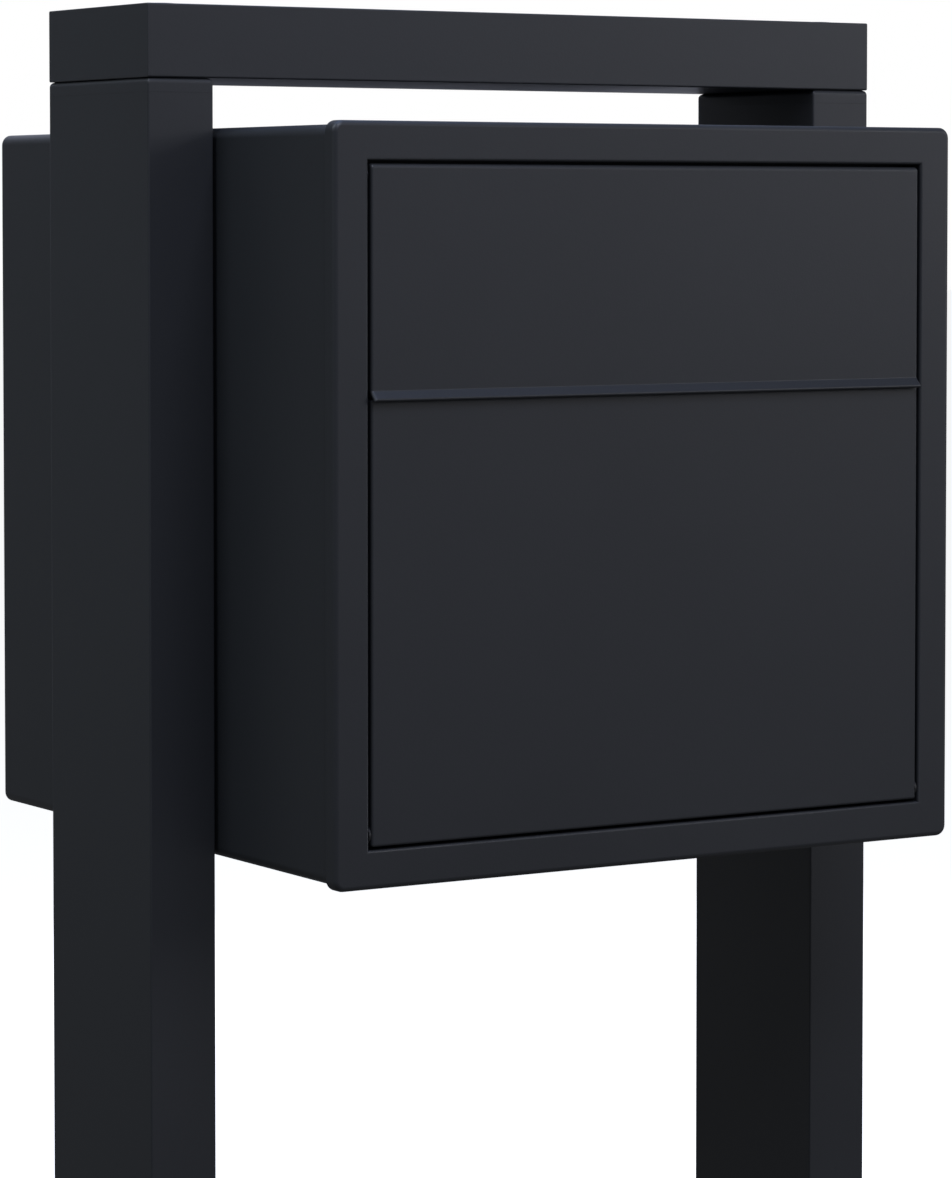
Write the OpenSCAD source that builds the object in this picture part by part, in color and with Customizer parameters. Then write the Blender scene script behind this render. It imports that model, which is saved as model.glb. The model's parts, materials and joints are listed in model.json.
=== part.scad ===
// Free-standing letterbox on two posts: a nearly cubic sheet-metal box with a front door,
// a mail flap with a finger lip, a cam lock behind the flap, and a portal of two posts
// and a crossbeam.  +Z is up, -Y is the front, X runs along the front.
// The origin is on the ground, under the middle of the object.

/* [Stand] */
// Height from the ground to the top of the crossbeam
overall_h = 1200; // [1120:10:1500]
// Width of a post, along the front
post_w = 40; // [36:1:60]
// Depth of a post and of the crossbeam
post_d = 120; // [100:5:140]
// Wall of the posts and of the crossbeam
post_wall = 3; // [2:0.5:4]
// Radius of the post's long edges
post_edge_r = 1; // [0.5:0.25:2]
// Distance from the front face to the front of the posts
post_setback = 131; // [110:1:150]
// Gap between the box and a post
post_gap = 2; // [2:0.5:8]
// Height of the crossbeam
beam_h = 40; // [36:1:60]
// Radius of the crossbeam's long edges
beam_edge_r = 1; // [0.5:0.5:3]
// Thickness of the plates that close the crossbeam
beam_end_t = 3; // [2:0.5:5]
// Open gap between the box and the crossbeam
beam_gap = 27; // [15:1:80]
// Thickness of the threaded plate on top of a post
cap_t = 8; // [6:1:12]
// Radius of that plate's top edge
cap_edge_r = 2; // [1:0.5:3]

/* [Feet] */
// Width of a foot plate
foot_w = 140; // [110:5:180]
// Depth of a foot plate
foot_d = 220; // [190:5:260]
// Thickness of a foot plate
foot_t = 8; // [6:1:12]
// Corner radius of a foot plate
foot_r = 10; // [4:1:20]
// Radius of an anchor hole
anchor_r = 6; // [5:0.5:7]
// Distance from an anchor hole to the plate's edges
anchor_edge = 20; // [15:1:25]

/* [Box] */
// Width of the box body
body_w = 400; // [390:5:480]
// Height of the box body
body_h = 400; // [350:5:480]
// Depth of the box, front face to rear edge
body_d = 400; // [330:5:480]
// Sheet thickness of the shell, the back and the door
sheet_t = 1.5; // [1:0.25:2]
// Bend radius of the shell's long edges
body_r = 6; // [4:1:9]
// Height of the back wall's flange
back_flange = 12; // [8:1:20]
// Distance from the shell's rear edge to the back wall
back_inset = 1.5; // [0.5:0.5:10]
// Radius of a drain hole
drain_r = 3; // [2:0.5:4]

/* [Front frame] */
// How far the frame stands out round the body
frame_proud = 2; // [1.5:0.25:3]
// Depth of the frame's outer flange
frame_strip = 10; // [8:1:16]
// Width of the frame's face
frame_face = 20.5; // [19:0.5:30]
// Sheet thickness of the frame
frame_t = 2; // [1.5:0.25:2.5]
// Corner radius of the frame, seen from the front
frame_corner_r = 6; // [4:1:12]
// Radius of the frame's outer front edge
frame_edge_r = 3; // [1.5:0.5:4]
// Radius of the opening's front edge
opening_edge_r = 1.5; // [0.5:0.25:2]
// Width of the door stop inside the opening
stop_w = 9; // [7:1:12]
// Height over the opening's lower edge where the side stops begin
stop_start = 30; // [25:1:60]

/* [Door] */
// Gap round the door
door_gap = 2; // [1.8:0.1:3]
// Depth of the door's flanges
door_depth = 16.5; // [16:0.5:20]
// Radius of the door's front edges
door_edge_r = 2; // [1.5:0.25:2.5]
// Depth of the recess behind the flap
recess_d = 13; // [12.5:0.5:14]
// Height of the hinge axis over the door's lower edge
hinge_rise = 6; // [6:0.5:8]
// Distance of the hinge axis behind the front face
hinge_inset = 5.5; // [5.5:0.25:6]
// Radius of a hinge pin
hinge_pin_r = 2.5; // [2:0.25:2.75]
// Wall of a hinge bush
hinge_bush_wall = 1.3; // [0.8:0.1:1.4]

/* [Flap] */
// Height of the flap, top edge to fold line
flap_h = 119; // [110:1:130]
// Sheet thickness of the flap
flap_t = 2; // [1.5:0.25:2]
// Outer radius of the roll along the flap's top edge
flap_roll_r = 6; // [6:0.25:6.25]
// Angle that the roll wraps round the hinge axis
flap_wrap = 150; // [100:5:155]
// How far the finger lip stands out
lip_out = 4.5; // [3:0.5:8]
// Depth of the flap's side flanges
flap_side = 10; // [9:0.5:11]
// Radius of a flap pin
flap_pin_r = 1.5; // [1.25:0.05:1.75]
// Wall of a flap bush
flap_bush_wall = 0.85; // [0.6:0.05:1]

/* [Mail slot] */
// Width of the slot
slot_w = 275; // [230:5:280]
// Height of the slot
slot_h = 40; // [30:1:45]
// Height of the slot's lower edge over the recess floor
slot_rise = 40; // [32:1:45]
// Sheet thickness of the baffle
baffle_t = 1.2; // [1:0.1:1.5]
// Length of the baffle's slope
baffle_l = 75; // [50:5:100]
// Angle of the baffle's slope below the horizontal
baffle_slope = 40; // [30:1:50]

/* [Lock] */
// Distance from the lock's axis to the door's edge
lock_inset = 23.5; // [22:0.5:25]
// Radius of the lock's barrel
barrel_r = 9.5; // [9:0.25:10]
// Radius of the lock's front collar
collar_r = 11; // [10.5:0.25:12]
// Radius of the turning plug
plug_r = 6.5; // [6:0.25:7]
// Length of the cam from its axis
cam_l = 28; // [26:0.5:30]
// Width of the cam
cam_w = 14; // [12:0.5:16]

/* [Fasteners] */
// Radius of the eight screws that carry the box, and of those in the crossbeam
screw_r = 4; // [3:0.5:5]
// Thickness of the backing plate inside the box
backing_t = 2; // [1.5:0.5:3]
// Spacing of the box screws, front to back
screw_pitch_y = 70; // [50:1:80]
// Spacing of the box screws, up and down
screw_pitch_z = 240; // [180:1:260]
// Radius of a blind rivet
rivet_r = 2.4; // [1.6:0.1:2.4]

/* [Hidden] */
$fn = 64;

coat = [0.19, 0.2, 0.21];
zinc = [0.62, 0.64, 0.66];
black_plastic = [0.08, 0.08, 0.08];
rubber = [0.05, 0.05, 0.05];
nickel = [0.75, 0.75, 0.73];

// Clearances
thread_gap = 0.05;
screw_gap = 0.5;
run_gap = 0.06;
rest_gap = 0.3;
eye_gap = 0.4;
cam_gap = 0.2;
cam_clear = 1.5;
skim = 1;

// The box and its frame
frame_w = body_w + 2 * frame_proud;
frame_h = body_h + 2 * frame_proud;
frame_z = overall_h - beam_h - beam_gap - body_h - frame_proud;
front_y = (lip_out - body_d) / 2;
open_w = frame_w - 2 * frame_face;
open_h = frame_h - 2 * frame_face;
back_y = body_d - back_inset - sheet_t;
back_fit = 0.1;
drain_in = 50;

// The stand
post_x = body_w / 2 + post_gap + post_w / 2;
post_y = front_y + post_setback + post_d / 2;
beam_z = overall_h - beam_h;
beam_l = 2 * post_x + post_w;
post_l = beam_z - cap_t - foot_t;
post_inner_r = max(post_edge_r - post_wall, 0.5);
beam_inner_r = 0.5;
beam_pitch = 70;

// The door, measured from the front face and the frame's lower edge
door_w = open_w - 2 * door_gap;
door_z0 = frame_face + door_gap;
door_z1 = frame_h - door_z0;
stop_t = 1.5;
bumper_t = 1.2;
bumper_r = 4;
stop_y = door_depth + rest_gap + bumper_t;
hinge_z = door_z0 + hinge_rise;
hinge_bush_r = hinge_pin_r + run_gap + hinge_bush_wall;
hinge_bush_l = 7;
hinge_head_r = hinge_inset - frame_t - rest_gap;
hinge_head_t = 2;
bush_collar = 1;
bush_collar_t = 1.2;
bumper_z = [frame_h / 4, door_z1 - 30];

// The flap
flap_axis_y = flap_roll_r;
flap_axis_z = door_z1 - flap_roll_r;
fold_z = door_z1 - flap_h;
shelf_z = fold_z - lip_out;
ear_gap = 0.5;
ear_t = sheet_t;
ear_x = door_w / 2 - flap_t - ear_gap;
ear_r = flap_roll_r - flap_t - eye_gap;
ear_neck = ear_r + 2.5;
ear_neck_h = 8;
flap_bush_r = flap_pin_r + run_gap + flap_bush_wall;
flap_pin_head_r = 3;
flap_pin_head_t = 1;
flap_pin_tail = 1.5;
flap_buffer_r = 5;
flap_buffer_x = 130;
flap_buffer_rise = 16;

// The slot and its baffle
recess_back = recess_d + sheet_t;
slot_z0 = shelf_z + slot_rise;
slot_z1 = slot_z0 + slot_h;
baffle_side = 1.5;
baffle_w = slot_w + 2 * baffle_side;
baffle_flange = 14;
baffle_over = 4;
baffle_z = slot_z1 + baffle_over;
baffle_rivet_z = baffle_z + 8;
rivet_x = [-120, -40, 40, 120];
rivet_head_r = 1.8 * rivet_r;
rivet_head_t = 1.3;
rivet_tail_r = 1.4 * rivet_r;
rivet_tail_t = 1.5;

// The lock
lock_x = door_w / 2 - lock_inset;
lock_z = (slot_z0 + slot_z1) / 2;
collar_t = 2.5;
nut_t = 3.5;
nut_across = 24;
cam_t = 2;
cam_y = stop_y + stop_t + cam_clear;
cam_boss_r = 9;
cam_square = 8;
cam_screw_r = 2.5;
cam_screw_head_r = 5.5;
cam_screw_l = 8;
cam_screw_head_t = 3;
cam_screw_socket = 4;
plug_inset = 0.5;
key_slot = [2, 8, 6];

// The fasteners
head_r = 1.65 * screw_r;
head_h = screw_r;
socket_across = 1.25 * screw_r;
beam_head_h = 2 * screw_r;
washer_r = 2 * screw_r;
washer_t = 1.6;
beam_thread_l = cap_t + 4;
access_r = 2.5 * screw_r;
plug_head_r = access_r + 2;
plug_head_t = 1.2;
plug_skirt_t = 1.5;
plug_skirt_h = 2 * post_wall;
beam_socket = 1.5 * screw_r;
nut_flange_t = 1;
nut_wall = 1.5;
nut_l = 14;
nut_spare = 2;
spacer_r = 3 * screw_r;
backing_r = 6;
backing_w = screw_pitch_y + 30;
backing_h = screw_pitch_z + 40;
box_mid_z = frame_z + frame_h / 2;

// ---------- helpers ----------

// Rectangle with round corners, centred
module rounded_rect(size_a, size_b, radius) {
    square([size_a - 2 * radius, size_b], center = true);
    square([size_a, size_b - 2 * radius], center = true);
    for (a = [-1, 1], b = [-1, 1])
        translate([a * (size_a / 2 - radius), b * (size_b / 2 - radius)]) circle(r = radius);
}

// A Y-Z profile carried along X, centred on x = 0
module along_x(length) {
    rotate([90, 0, 90]) linear_extrude(length, center = true) children();
}

// An X-Z profile carried from y = 0 towards the back
module along_y(length) {
    translate([0, length, 0]) rotate([90, 0, 0]) linear_extrude(length) children();
}

// Slab on z = 0 with round corners and a round top edge; corner_r is no less than edge_r
module round_top_slab(size_a, size_b, height, corner_r, edge_r) {
    ring_r = corner_r - edge_r;
    core_r = max(ring_r, 0.1);
    linear_extrude(height - edge_r) rounded_rect(size_a, size_b, corner_r);
    linear_extrude(height) rounded_rect(size_a - 2 * edge_r, size_b - 2 * edge_r, core_r);
    translate([0, 0, height - edge_r]) {
        for (side = [-1, 1]) {
            translate([side * (size_a / 2 - edge_r), 0, 0]) rotate([90, 0, 0])
                cylinder(r = edge_r, h = size_b - 2 * corner_r, center = true);
            translate([0, side * (size_b / 2 - edge_r), 0]) rotate([0, 90, 0])
                cylinder(r = edge_r, h = size_a - 2 * corner_r, center = true);
        }
        for (a = [-1, 1], b = [-1, 1])
            translate([a * (size_a / 2 - corner_r), b * (size_b / 2 - corner_r), 0])
                rotate_extrude() {
                    square([core_r, edge_r]);
                    translate([ring_r, 0]) intersection() {
                        circle(r = edge_r);
                        square(edge_r);
                    }
                }
    }
}

// Rectangle from y = 0 to y = height, centred on x = 0, its two top corners round
module round_top_rect(width, height, radius) {
    translate([-width / 2, 0]) square([width, height - radius]);
    translate([radius - width / 2, 0]) square([width - 2 * radius, height]);
    for (side = [-1, 1])
        translate([side * (width / 2 - radius), height - radius]) circle(r = radius);
}

// Slab on z = 0 with mitred round top edges and long edges of a radius of their own
module mitred_slab(size_a, size_b, height, corner_r, edge_r) {
    intersection() {
        linear_extrude(height) rounded_rect(size_a, size_b, corner_r);
        along_x(size_a) round_top_rect(size_b, height, edge_r);
        translate([0, -size_b / 2, 0]) along_y(size_b) round_top_rect(size_a, height, edge_r);
    }
}

// A slab with a round edge standing up, that edge to the front, from y = 0 to y = depth
module round_front_slab(width, height, depth, corner_r, edge_r) {
    translate([0, depth, height / 2]) rotate([90, 0, 0])
        round_top_slab(width, height, depth, corner_r, edge_r);
}

// Places children in the box's own frame: front face at y = 0, frame's lower edge at z = 0
module in_box() {
    translate([0, front_y, frame_z]) children();
}

// The four places of the box screws on one side; local +Z points out of the box,
// and z = 0 is the shell's outer face
module at_box_screws(side) {
    for (a = [-1, 1], b = [-1, 1])
        translate([side * body_w / 2, post_y + a * screw_pitch_y / 2,
                   box_mid_z + b * screw_pitch_z / 2])
            rotate([0, side * 90, 0]) children();
}

// The two places of the crossbeam's screws on one post, at the post cap's top
module at_beam_screws(side) {
    for (a = [-1, 1])
        translate([side * post_x, post_y + a * beam_pitch / 2, beam_z]) children();
}

// The flap hinge's axis on one side; local +Z points out of the door,
// and z = 0 is the flap's outer end
module at_flap_axis(side) {
    in_box() translate([side * door_w / 2, flap_axis_y, flap_axis_z])
        rotate([0, side * 90, 0]) children();
}

// The door hinge's axis on one side; z = 0 is the door's outer face
module at_door_axis(side) {
    in_box() translate([side * door_w / 2, hinge_inset, hinge_z])
        rotate([0, side * 90, 0]) children();
}

// The lock's axis; local +Z points into the box, and z = 0 is the front face
module at_lock() {
    in_box() translate([lock_x, 0, lock_z]) rotate([-90, 0, 0]) children();
}

// Screw along +Z from a head below z = 0, with a hexagon socket
module socket_screw(radius, length, cap_r, cap_h, socket) {
    difference() {
        union() {
            translate([0, 0, -cap_h]) cylinder(r = cap_r, h = cap_h);
            cylinder(r = radius - thread_gap, h = length);
        }
        translate([0, 0, -cap_h - skim]) cylinder(d = socket, h = cap_h / 2 + skim, $fn = 6);
    }
}

module ring(outer_r, inner_r, height) {
    difference() {
        cylinder(r = outer_r, h = height);
        translate([0, 0, -skim]) cylinder(r = inner_r, h = height + 2 * skim);
    }
}

// ---------- stand ----------

module post(side) {
    color(coat) difference() {
        translate([side * post_x, post_y, foot_t])
            linear_extrude(post_l) difference() {
                rounded_rect(post_w, post_d, post_edge_r);
                rounded_rect(post_w - 2 * post_wall, post_d - 2 * post_wall, post_inner_r);
            }
        at_box_screws(side) translate([0, 0, post_gap - skim])
            cylinder(r = screw_r + nut_wall, h = post_wall + 2 * skim);
    }
}

module post_cap(side) {
    color(coat) difference() {
        translate([side * post_x, post_y, beam_z - cap_t])
            mitred_slab(post_w, post_d, cap_t, post_edge_r, cap_edge_r);
        at_beam_screws(side) translate([0, 0, -cap_t - skim])
            cylinder(r = screw_r, h = cap_t + 2 * skim);
    }
}

module foot_plate(side) {
    color(coat) translate([side * post_x, post_y, 0]) linear_extrude(foot_t) difference() {
        rounded_rect(foot_w, foot_d, foot_r);
        for (a = [-1, 1], b = [-1, 1])
            translate([a * (foot_w / 2 - anchor_edge), b * (foot_d / 2 - anchor_edge)])
                circle(r = anchor_r);
    }
}

module crossbeam() {
    color(coat) difference() {
        translate([0, post_y, beam_z + beam_h / 2])
            along_x(beam_l - 2 * beam_end_t) difference() {
                rounded_rect(post_d, beam_h, beam_edge_r);
                rounded_rect(post_d - 2 * post_wall, beam_h - 2 * post_wall, beam_inner_r);
            }
        for (side = [-1, 1]) at_beam_screws(side) {
            translate([0, 0, -skim]) cylinder(r = screw_r + screw_gap, h = post_wall + 2 * skim);
            translate([0, 0, beam_h - post_wall - skim])
                cylinder(r = access_r, h = post_wall + 2 * skim);
        }
    }
}

module beam_end(side) {
    color(coat) translate([side * (beam_l - beam_end_t) / 2, post_y, beam_z + beam_h / 2])
        along_x(beam_end_t) rounded_rect(post_d, beam_h, beam_edge_r);
}

module beam_screws() {
    color(zinc) for (side = [-1, 1]) at_beam_screws(side)
        translate([0, 0, post_wall + washer_t]) mirror([0, 0, 1])
            socket_screw(screw_r, beam_thread_l, head_r, beam_head_h, beam_socket);
}

module beam_washers() {
    color(zinc) for (side = [-1, 1]) at_beam_screws(side)
        translate([0, 0, post_wall]) ring(washer_r, screw_r + screw_gap, washer_t);
}

module beam_plugs() {
    color(black_plastic) for (side = [-1, 1]) at_beam_screws(side)
        translate([0, 0, beam_h]) {
            cylinder(r = plug_head_r, h = plug_head_t);
            translate([0, 0, -plug_skirt_h])
                ring(access_r, access_r - plug_skirt_t, plug_skirt_h);
        }
}

// ---------- box ----------

module box_shell() {
    color(coat) difference() {
        in_box() translate([0, frame_t, frame_h / 2]) along_y(body_d - frame_t) difference() {
            rounded_rect(body_w, body_h, body_r);
            rounded_rect(body_w - 2 * sheet_t, body_h - 2 * sheet_t, body_r - sheet_t);
        }
        for (side = [-1, 1]) at_box_screws(side) translate([0, 0, -sheet_t - skim])
            cylinder(r = screw_r + screw_gap, h = sheet_t + 2 * skim);
        in_box() for (a = [-1, 1], y = [frame_strip + drain_in, body_d - drain_in])
            translate([a * (body_w / 2 - drain_in), y, frame_proud - skim])
                cylinder(r = drain_r, h = sheet_t + 2 * skim);
    }
}

module box_back() {
    inner_w = body_w - 2 * sheet_t - 2 * back_fit;
    inner_h = body_h - 2 * sheet_t - 2 * back_fit;
    inner_r = body_r - sheet_t;
    color(coat) in_box() translate([0, back_y - back_flange, frame_h / 2]) difference() {
        along_y(back_flange + sheet_t) rounded_rect(inner_w, inner_h, inner_r);
        translate([0, -skim, 0]) along_y(back_flange + skim)
            rounded_rect(inner_w - 2 * sheet_t, inner_h - 2 * sheet_t, inner_r - sheet_t);
    }
}

// What rounding takes off a front edge: the solid lies below z = 0 and behind y = 0
module edge_cut(radius) {
    difference() {
        translate([-skim, -radius]) square([radius + skim, radius + skim]);
        translate([radius, -radius]) circle(r = radius);
    }
}

// Outer flange, face and return carried right round the opening
module frame_ring() {
    in_box() difference() {
        union() {
            difference() {
                round_front_slab(frame_w, frame_h, frame_strip, frame_corner_r, frame_edge_r);
                translate([0, frame_t, frame_h / 2]) along_y(frame_strip)
                    rounded_rect(body_w, body_h, body_r);
            }
            translate([0, 0, frame_h / 2]) along_y(stop_y)
                square([open_w + 2 * frame_t, open_h + 2 * frame_t], center = true);
        }
        translate([0, -skim, frame_h / 2]) along_y(stop_y + 2 * skim)
            square([open_w, open_h], center = true);
        for (turn = [0:3]) {
            across = turn % 2 == 0 ? open_w : open_h;
            reach = turn % 2 == 0 ? open_h : open_w;
            translate([0, 0, frame_h / 2]) rotate([0, turn * 90, 0])
                translate([0, 0, -reach / 2]) along_x(across) edge_cut(opening_edge_r);
        }
        translate([0, hinge_inset, hinge_z]) rotate([0, 90, 0])
            cylinder(r = hinge_pin_r, h = frame_w - 2 * frame_proud - 2 * sheet_t, center = true);
    }
}

// One mitred side of the ring; turn is 0 for the bottom, 1 left, 2 top and 3 right
module frame_rail(turn) {
    across = turn % 2 == 0 ? frame_w : frame_h;
    reach = turn % 2 == 0 ? frame_h : frame_w;
    mitre = frame_face + frame_t;
    color(coat) intersection() {
        frame_ring();
        in_box() translate([0, -skim, frame_h / 2]) rotate([0, turn * 90, 0])
            along_y(stop_y + 2 * skim) translate([0, -reach / 2]) polygon([
                [-across / 2 - skim, -skim], [across / 2 + skim, -skim],
                [across / 2 - mitre, mitre], [mitre - across / 2, mitre]]);
    }
}

// Flat strip welded behind the return, starting stop_start over the opening's lower edge
module side_stop(side) {
    strip_w = stop_w + frame_t;
    strip_h = open_h + frame_t - stop_start;
    color(coat) in_box() translate([side * (open_w / 2 + frame_t - strip_w / 2), stop_y + stop_t / 2,
                                    frame_face + stop_start + strip_h / 2])
        cube([strip_w, stop_t, strip_h], center = true);
}

module top_stop() {
    strip_h = stop_w + frame_t;
    color(coat) in_box()
        translate([0, stop_y + stop_t / 2, frame_face + open_h + frame_t - strip_h / 2])
            cube([open_w - 2 * stop_w, stop_t, strip_h], center = true);
}

module backing_plate(side) {
    color(zinc) difference() {
        translate([side * (body_w / 2 - sheet_t - backing_t / 2), post_y, box_mid_z])
            rotate([90, 0, 90]) linear_extrude(backing_t, center = true)
                rounded_rect(backing_w, backing_h, backing_r);
        at_box_screws(side) translate([0, 0, -sheet_t - backing_t - skim])
            cylinder(r = screw_r + screw_gap, h = backing_t + 2 * skim);
    }
}

module box_screws(side) {
    grip = sheet_t + backing_t;
    color(zinc) at_box_screws(side) translate([0, 0, -grip])
        socket_screw(screw_r, grip + post_gap + nut_l - nut_spare, head_r, head_h, socket_across);
}

module spacers(side) {
    color(black_plastic) at_box_screws(side)
        ring(spacer_r, screw_r + screw_gap, post_gap - nut_flange_t);
}

module rivet_nuts(side) {
    color(zinc) at_box_screws(side) translate([0, 0, post_gap - nut_flange_t]) difference() {
        union() {
            cylinder(r = 2 * screw_r, h = nut_flange_t);
            cylinder(r = screw_r + nut_wall, h = nut_flange_t + nut_l);
        }
        translate([0, 0, -skim]) cylinder(r = screw_r, h = nut_flange_t + nut_l + 2 * skim);
    }
}

module hinge_pin(side) {
    outer_l = door_gap + frame_t;
    color(zinc) at_door_axis(side) {
        translate([0, 0, -hinge_bush_l]) cylinder(r = hinge_pin_r, h = hinge_bush_l + outer_l);
        translate([0, 0, outer_l]) cylinder(r = hinge_head_r, h = hinge_head_t);
    }
}

module door_bumpers() {
    color(rubber) in_box() for (a = [-1, 1], z = bumper_z)
        translate([a * (open_w - stop_w) / 2, stop_y - bumper_t, z]) rotate([-90, 0, 0])
            cylinder(r = bumper_r, h = bumper_t);
}

// ---------- door ----------

// Side wall of the recess, with the eye that carries the flap
module ear_profile() {
    translate([flap_axis_y - ear_r, shelf_z - sheet_t])
        square([door_depth - flap_axis_y + ear_r, flap_axis_z - ear_neck_h - shelf_z + sheet_t]);
    translate([flap_axis_y - ear_r, flap_axis_z - ear_neck_h - skim])
        square([ear_neck, ear_neck_h + skim]);
    translate([recess_d, shelf_z - sheet_t])
        square([door_depth - recess_d, door_z1 - shelf_z + sheet_t]);
    translate([flap_axis_y, flap_axis_z]) circle(r = ear_r);
}

module door_pan() {
    lower_h = shelf_z - door_z0;
    color(coat) difference() {
        in_box() {
            // lower tray
            difference() {
                translate([0, 0, door_z0])
                    round_front_slab(door_w, lower_h, door_depth, door_edge_r, door_edge_r);
                translate([-door_w / 2 + sheet_t, sheet_t, door_z0 + sheet_t])
                    cube([door_w - 2 * sheet_t, door_depth, lower_h - 2 * sheet_t]);
            }
            // recess behind the flap
            difference() {
                translate([-ear_x, recess_d, shelf_z - sheet_t])
                    cube([2 * ear_x, sheet_t, door_z1 - shelf_z + sheet_t]);
                translate([-slot_w / 2, recess_d - skim, slot_z0])
                    cube([slot_w, sheet_t + 2 * skim, slot_h]);
            }
            for (side = [-1, 1]) translate([side * (ear_x - ear_t / 2), 0, 0])
                along_x(ear_t) ear_profile();
            translate([-ear_x, recess_d, door_z1 - sheet_t])
                cube([2 * ear_x, door_depth - recess_d, sheet_t]);
        }
        for (side = [-1, 1]) {
            at_door_axis(side) translate([0, 0, -hinge_bush_l])
                cylinder(r = hinge_bush_r, h = hinge_bush_l + skim);
            at_flap_axis(side) translate([0, 0, -flap_t - ear_gap - ear_t - skim])
                cylinder(r = flap_bush_r, h = ear_t + 2 * skim);
        }
        at_lock() translate([0, 0, recess_d - skim])
            cylinder(r = barrel_r, h = sheet_t + 2 * skim);
        in_box() for (x = rivet_x)
            translate([x, recess_d - skim, baffle_rivet_z]) rotate([-90, 0, 0])
                cylinder(r = rivet_r, h = sheet_t + 2 * skim);
    }
}

module hinge_bush(side) {
    color(black_plastic) at_door_axis(side) difference() {
        union() {
            translate([0, 0, -hinge_bush_l]) cylinder(r = hinge_bush_r, h = hinge_bush_l);
            cylinder(r = hinge_bush_r + bush_collar, h = bush_collar_t);
        }
        translate([0, 0, -hinge_bush_l - skim])
            cylinder(r = hinge_pin_r + run_gap, h = hinge_bush_l + bush_collar_t + 2 * skim);
    }
}

module flap_bush(side) {
    wall_z = -(flap_t + ear_gap + ear_t);
    color(black_plastic) at_flap_axis(side) difference() {
        union() {
            translate([0, 0, wall_z]) cylinder(r = flap_bush_r, h = ear_t);
            translate([0, 0, wall_z - bush_collar_t])
                cylinder(r = ear_r - 0.1, h = bush_collar_t);
        }
        translate([0, 0, wall_z - bush_collar_t - skim])
            cylinder(r = flap_pin_r + run_gap, h = bush_collar_t + ear_t + 2 * skim);
    }
}

module flap_bumpers() {
    buffer_l = recess_d - flap_t - rest_gap;
    color(rubber) in_box() for (a = [-1, 1])
        translate([a * flap_buffer_x, recess_d - buffer_l, shelf_z + flap_buffer_rise])
            rotate([-90, 0, 0]) cylinder(r = flap_buffer_r, h = buffer_l);
}

module slot_baffle() {
    color(coat) in_box() difference() {
        translate([0, recess_back, baffle_z]) {
            along_x(baffle_w) square([baffle_t, baffle_flange]);
            along_x(baffle_w) rotate(-baffle_slope) square([baffle_l, baffle_t]);
        }
        for (x = rivet_x)
            translate([x, recess_back - skim, baffle_rivet_z])
                rotate([-90, 0, 0]) cylinder(r = rivet_r, h = baffle_t + 2 * skim);
    }
}

module baffle_rivets() {
    grip = sheet_t + baffle_t;
    color(zinc) in_box() for (x = rivet_x)
        translate([x, recess_d, baffle_rivet_z]) rotate([-90, 0, 0]) {
            translate([0, 0, -rivet_head_t]) cylinder(r = rivet_head_r, h = rivet_head_t);
            cylinder(r = rivet_r, h = grip);
            translate([0, 0, grip]) cylinder(r = rivet_tail_r, h = rivet_tail_t);
        }
}

// ---------- lock ----------

module lock_housing() {
    color(nickel) at_lock() difference() {
        union() {
            translate([0, 0, recess_d - collar_t]) cylinder(r = collar_r, h = collar_t);
            translate([0, 0, recess_d])
                cylinder(r = barrel_r, h = cam_y - cam_gap - recess_d);
        }
        translate([0, 0, recess_d - collar_t - skim])
            cylinder(r = plug_r + run_gap, h = cam_y + skim);
    }
}

module lock_nut() {
    color(zinc) at_lock() translate([0, 0, recess_back]) difference() {
        cylinder(d = nut_across * 2 / sqrt(3), h = nut_t, $fn = 6);
        translate([0, 0, -skim]) cylinder(r = barrel_r, h = nut_t + 2 * skim);
    }
}

module lock_plug() {
    face_y = recess_d - collar_t + plug_inset;
    color(nickel) at_lock() difference() {
        union() {
            translate([0, 0, face_y]) cylinder(r = plug_r, h = cam_y - face_y);
            translate([-cam_square / 2, -cam_square / 2, cam_y - skim])
                cube([cam_square, cam_square, cam_t + skim]);
        }
        translate([-key_slot.x / 2, -key_slot.y / 2, face_y - skim])
            cube([key_slot.x, key_slot.y, key_slot.z + skim]);
        translate([0, 0, cam_y + cam_t - cam_screw_l])
            cylinder(r = cam_screw_r, h = cam_screw_l + skim);
    }
}

module lock_cam() {
    color(zinc) at_lock() translate([0, 0, cam_y]) linear_extrude(cam_t) difference() {
        union() {
            circle(r = cam_boss_r);
            translate([-cam_w / 2, 0]) square([cam_w, cam_l - cam_w / 2]);
            translate([0, cam_l - cam_w / 2]) circle(d = cam_w);
        }
        square(cam_square, center = true);
    }
}

module cam_screw() {
    color(zinc) at_lock() translate([0, 0, cam_y + cam_t]) mirror([0, 0, 1])
        socket_screw(cam_screw_r, cam_screw_l - skim, cam_screw_head_r, cam_screw_head_t,
                     cam_screw_socket);
}

// ---------- flap ----------

// Rolled top edge, plate and finger lip in one sheet
module flap_profile() {
    translate([flap_axis_y, flap_axis_z]) difference() {
        circle(r = flap_roll_r);
        circle(r = flap_roll_r - flap_t);
        translate([-2 * flap_roll_r, -2 * flap_roll_r]) square([4 * flap_roll_r, 2 * flap_roll_r]);
        rotate(-flap_wrap) translate([-2 * flap_roll_r, 0])
            square([4 * flap_roll_r, 2 * flap_roll_r]);
    }
    translate([0, fold_z]) square([flap_t, flap_axis_z - fold_z]);
    polygon([[0, fold_z], [flap_t, fold_z], [flap_t, fold_z - flap_t * (sqrt(2) - 1)],
        [-lip_out + flap_t / sqrt(2), fold_z - lip_out - flap_t / sqrt(2)],
        [-lip_out, fold_z - lip_out]]);
}

module flap_side_profile() {
    translate([flap_axis_y, flap_axis_z]) circle(r = flap_roll_r);
    translate([0, fold_z]) square([flap_side, flap_axis_z - fold_z]);
}

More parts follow.
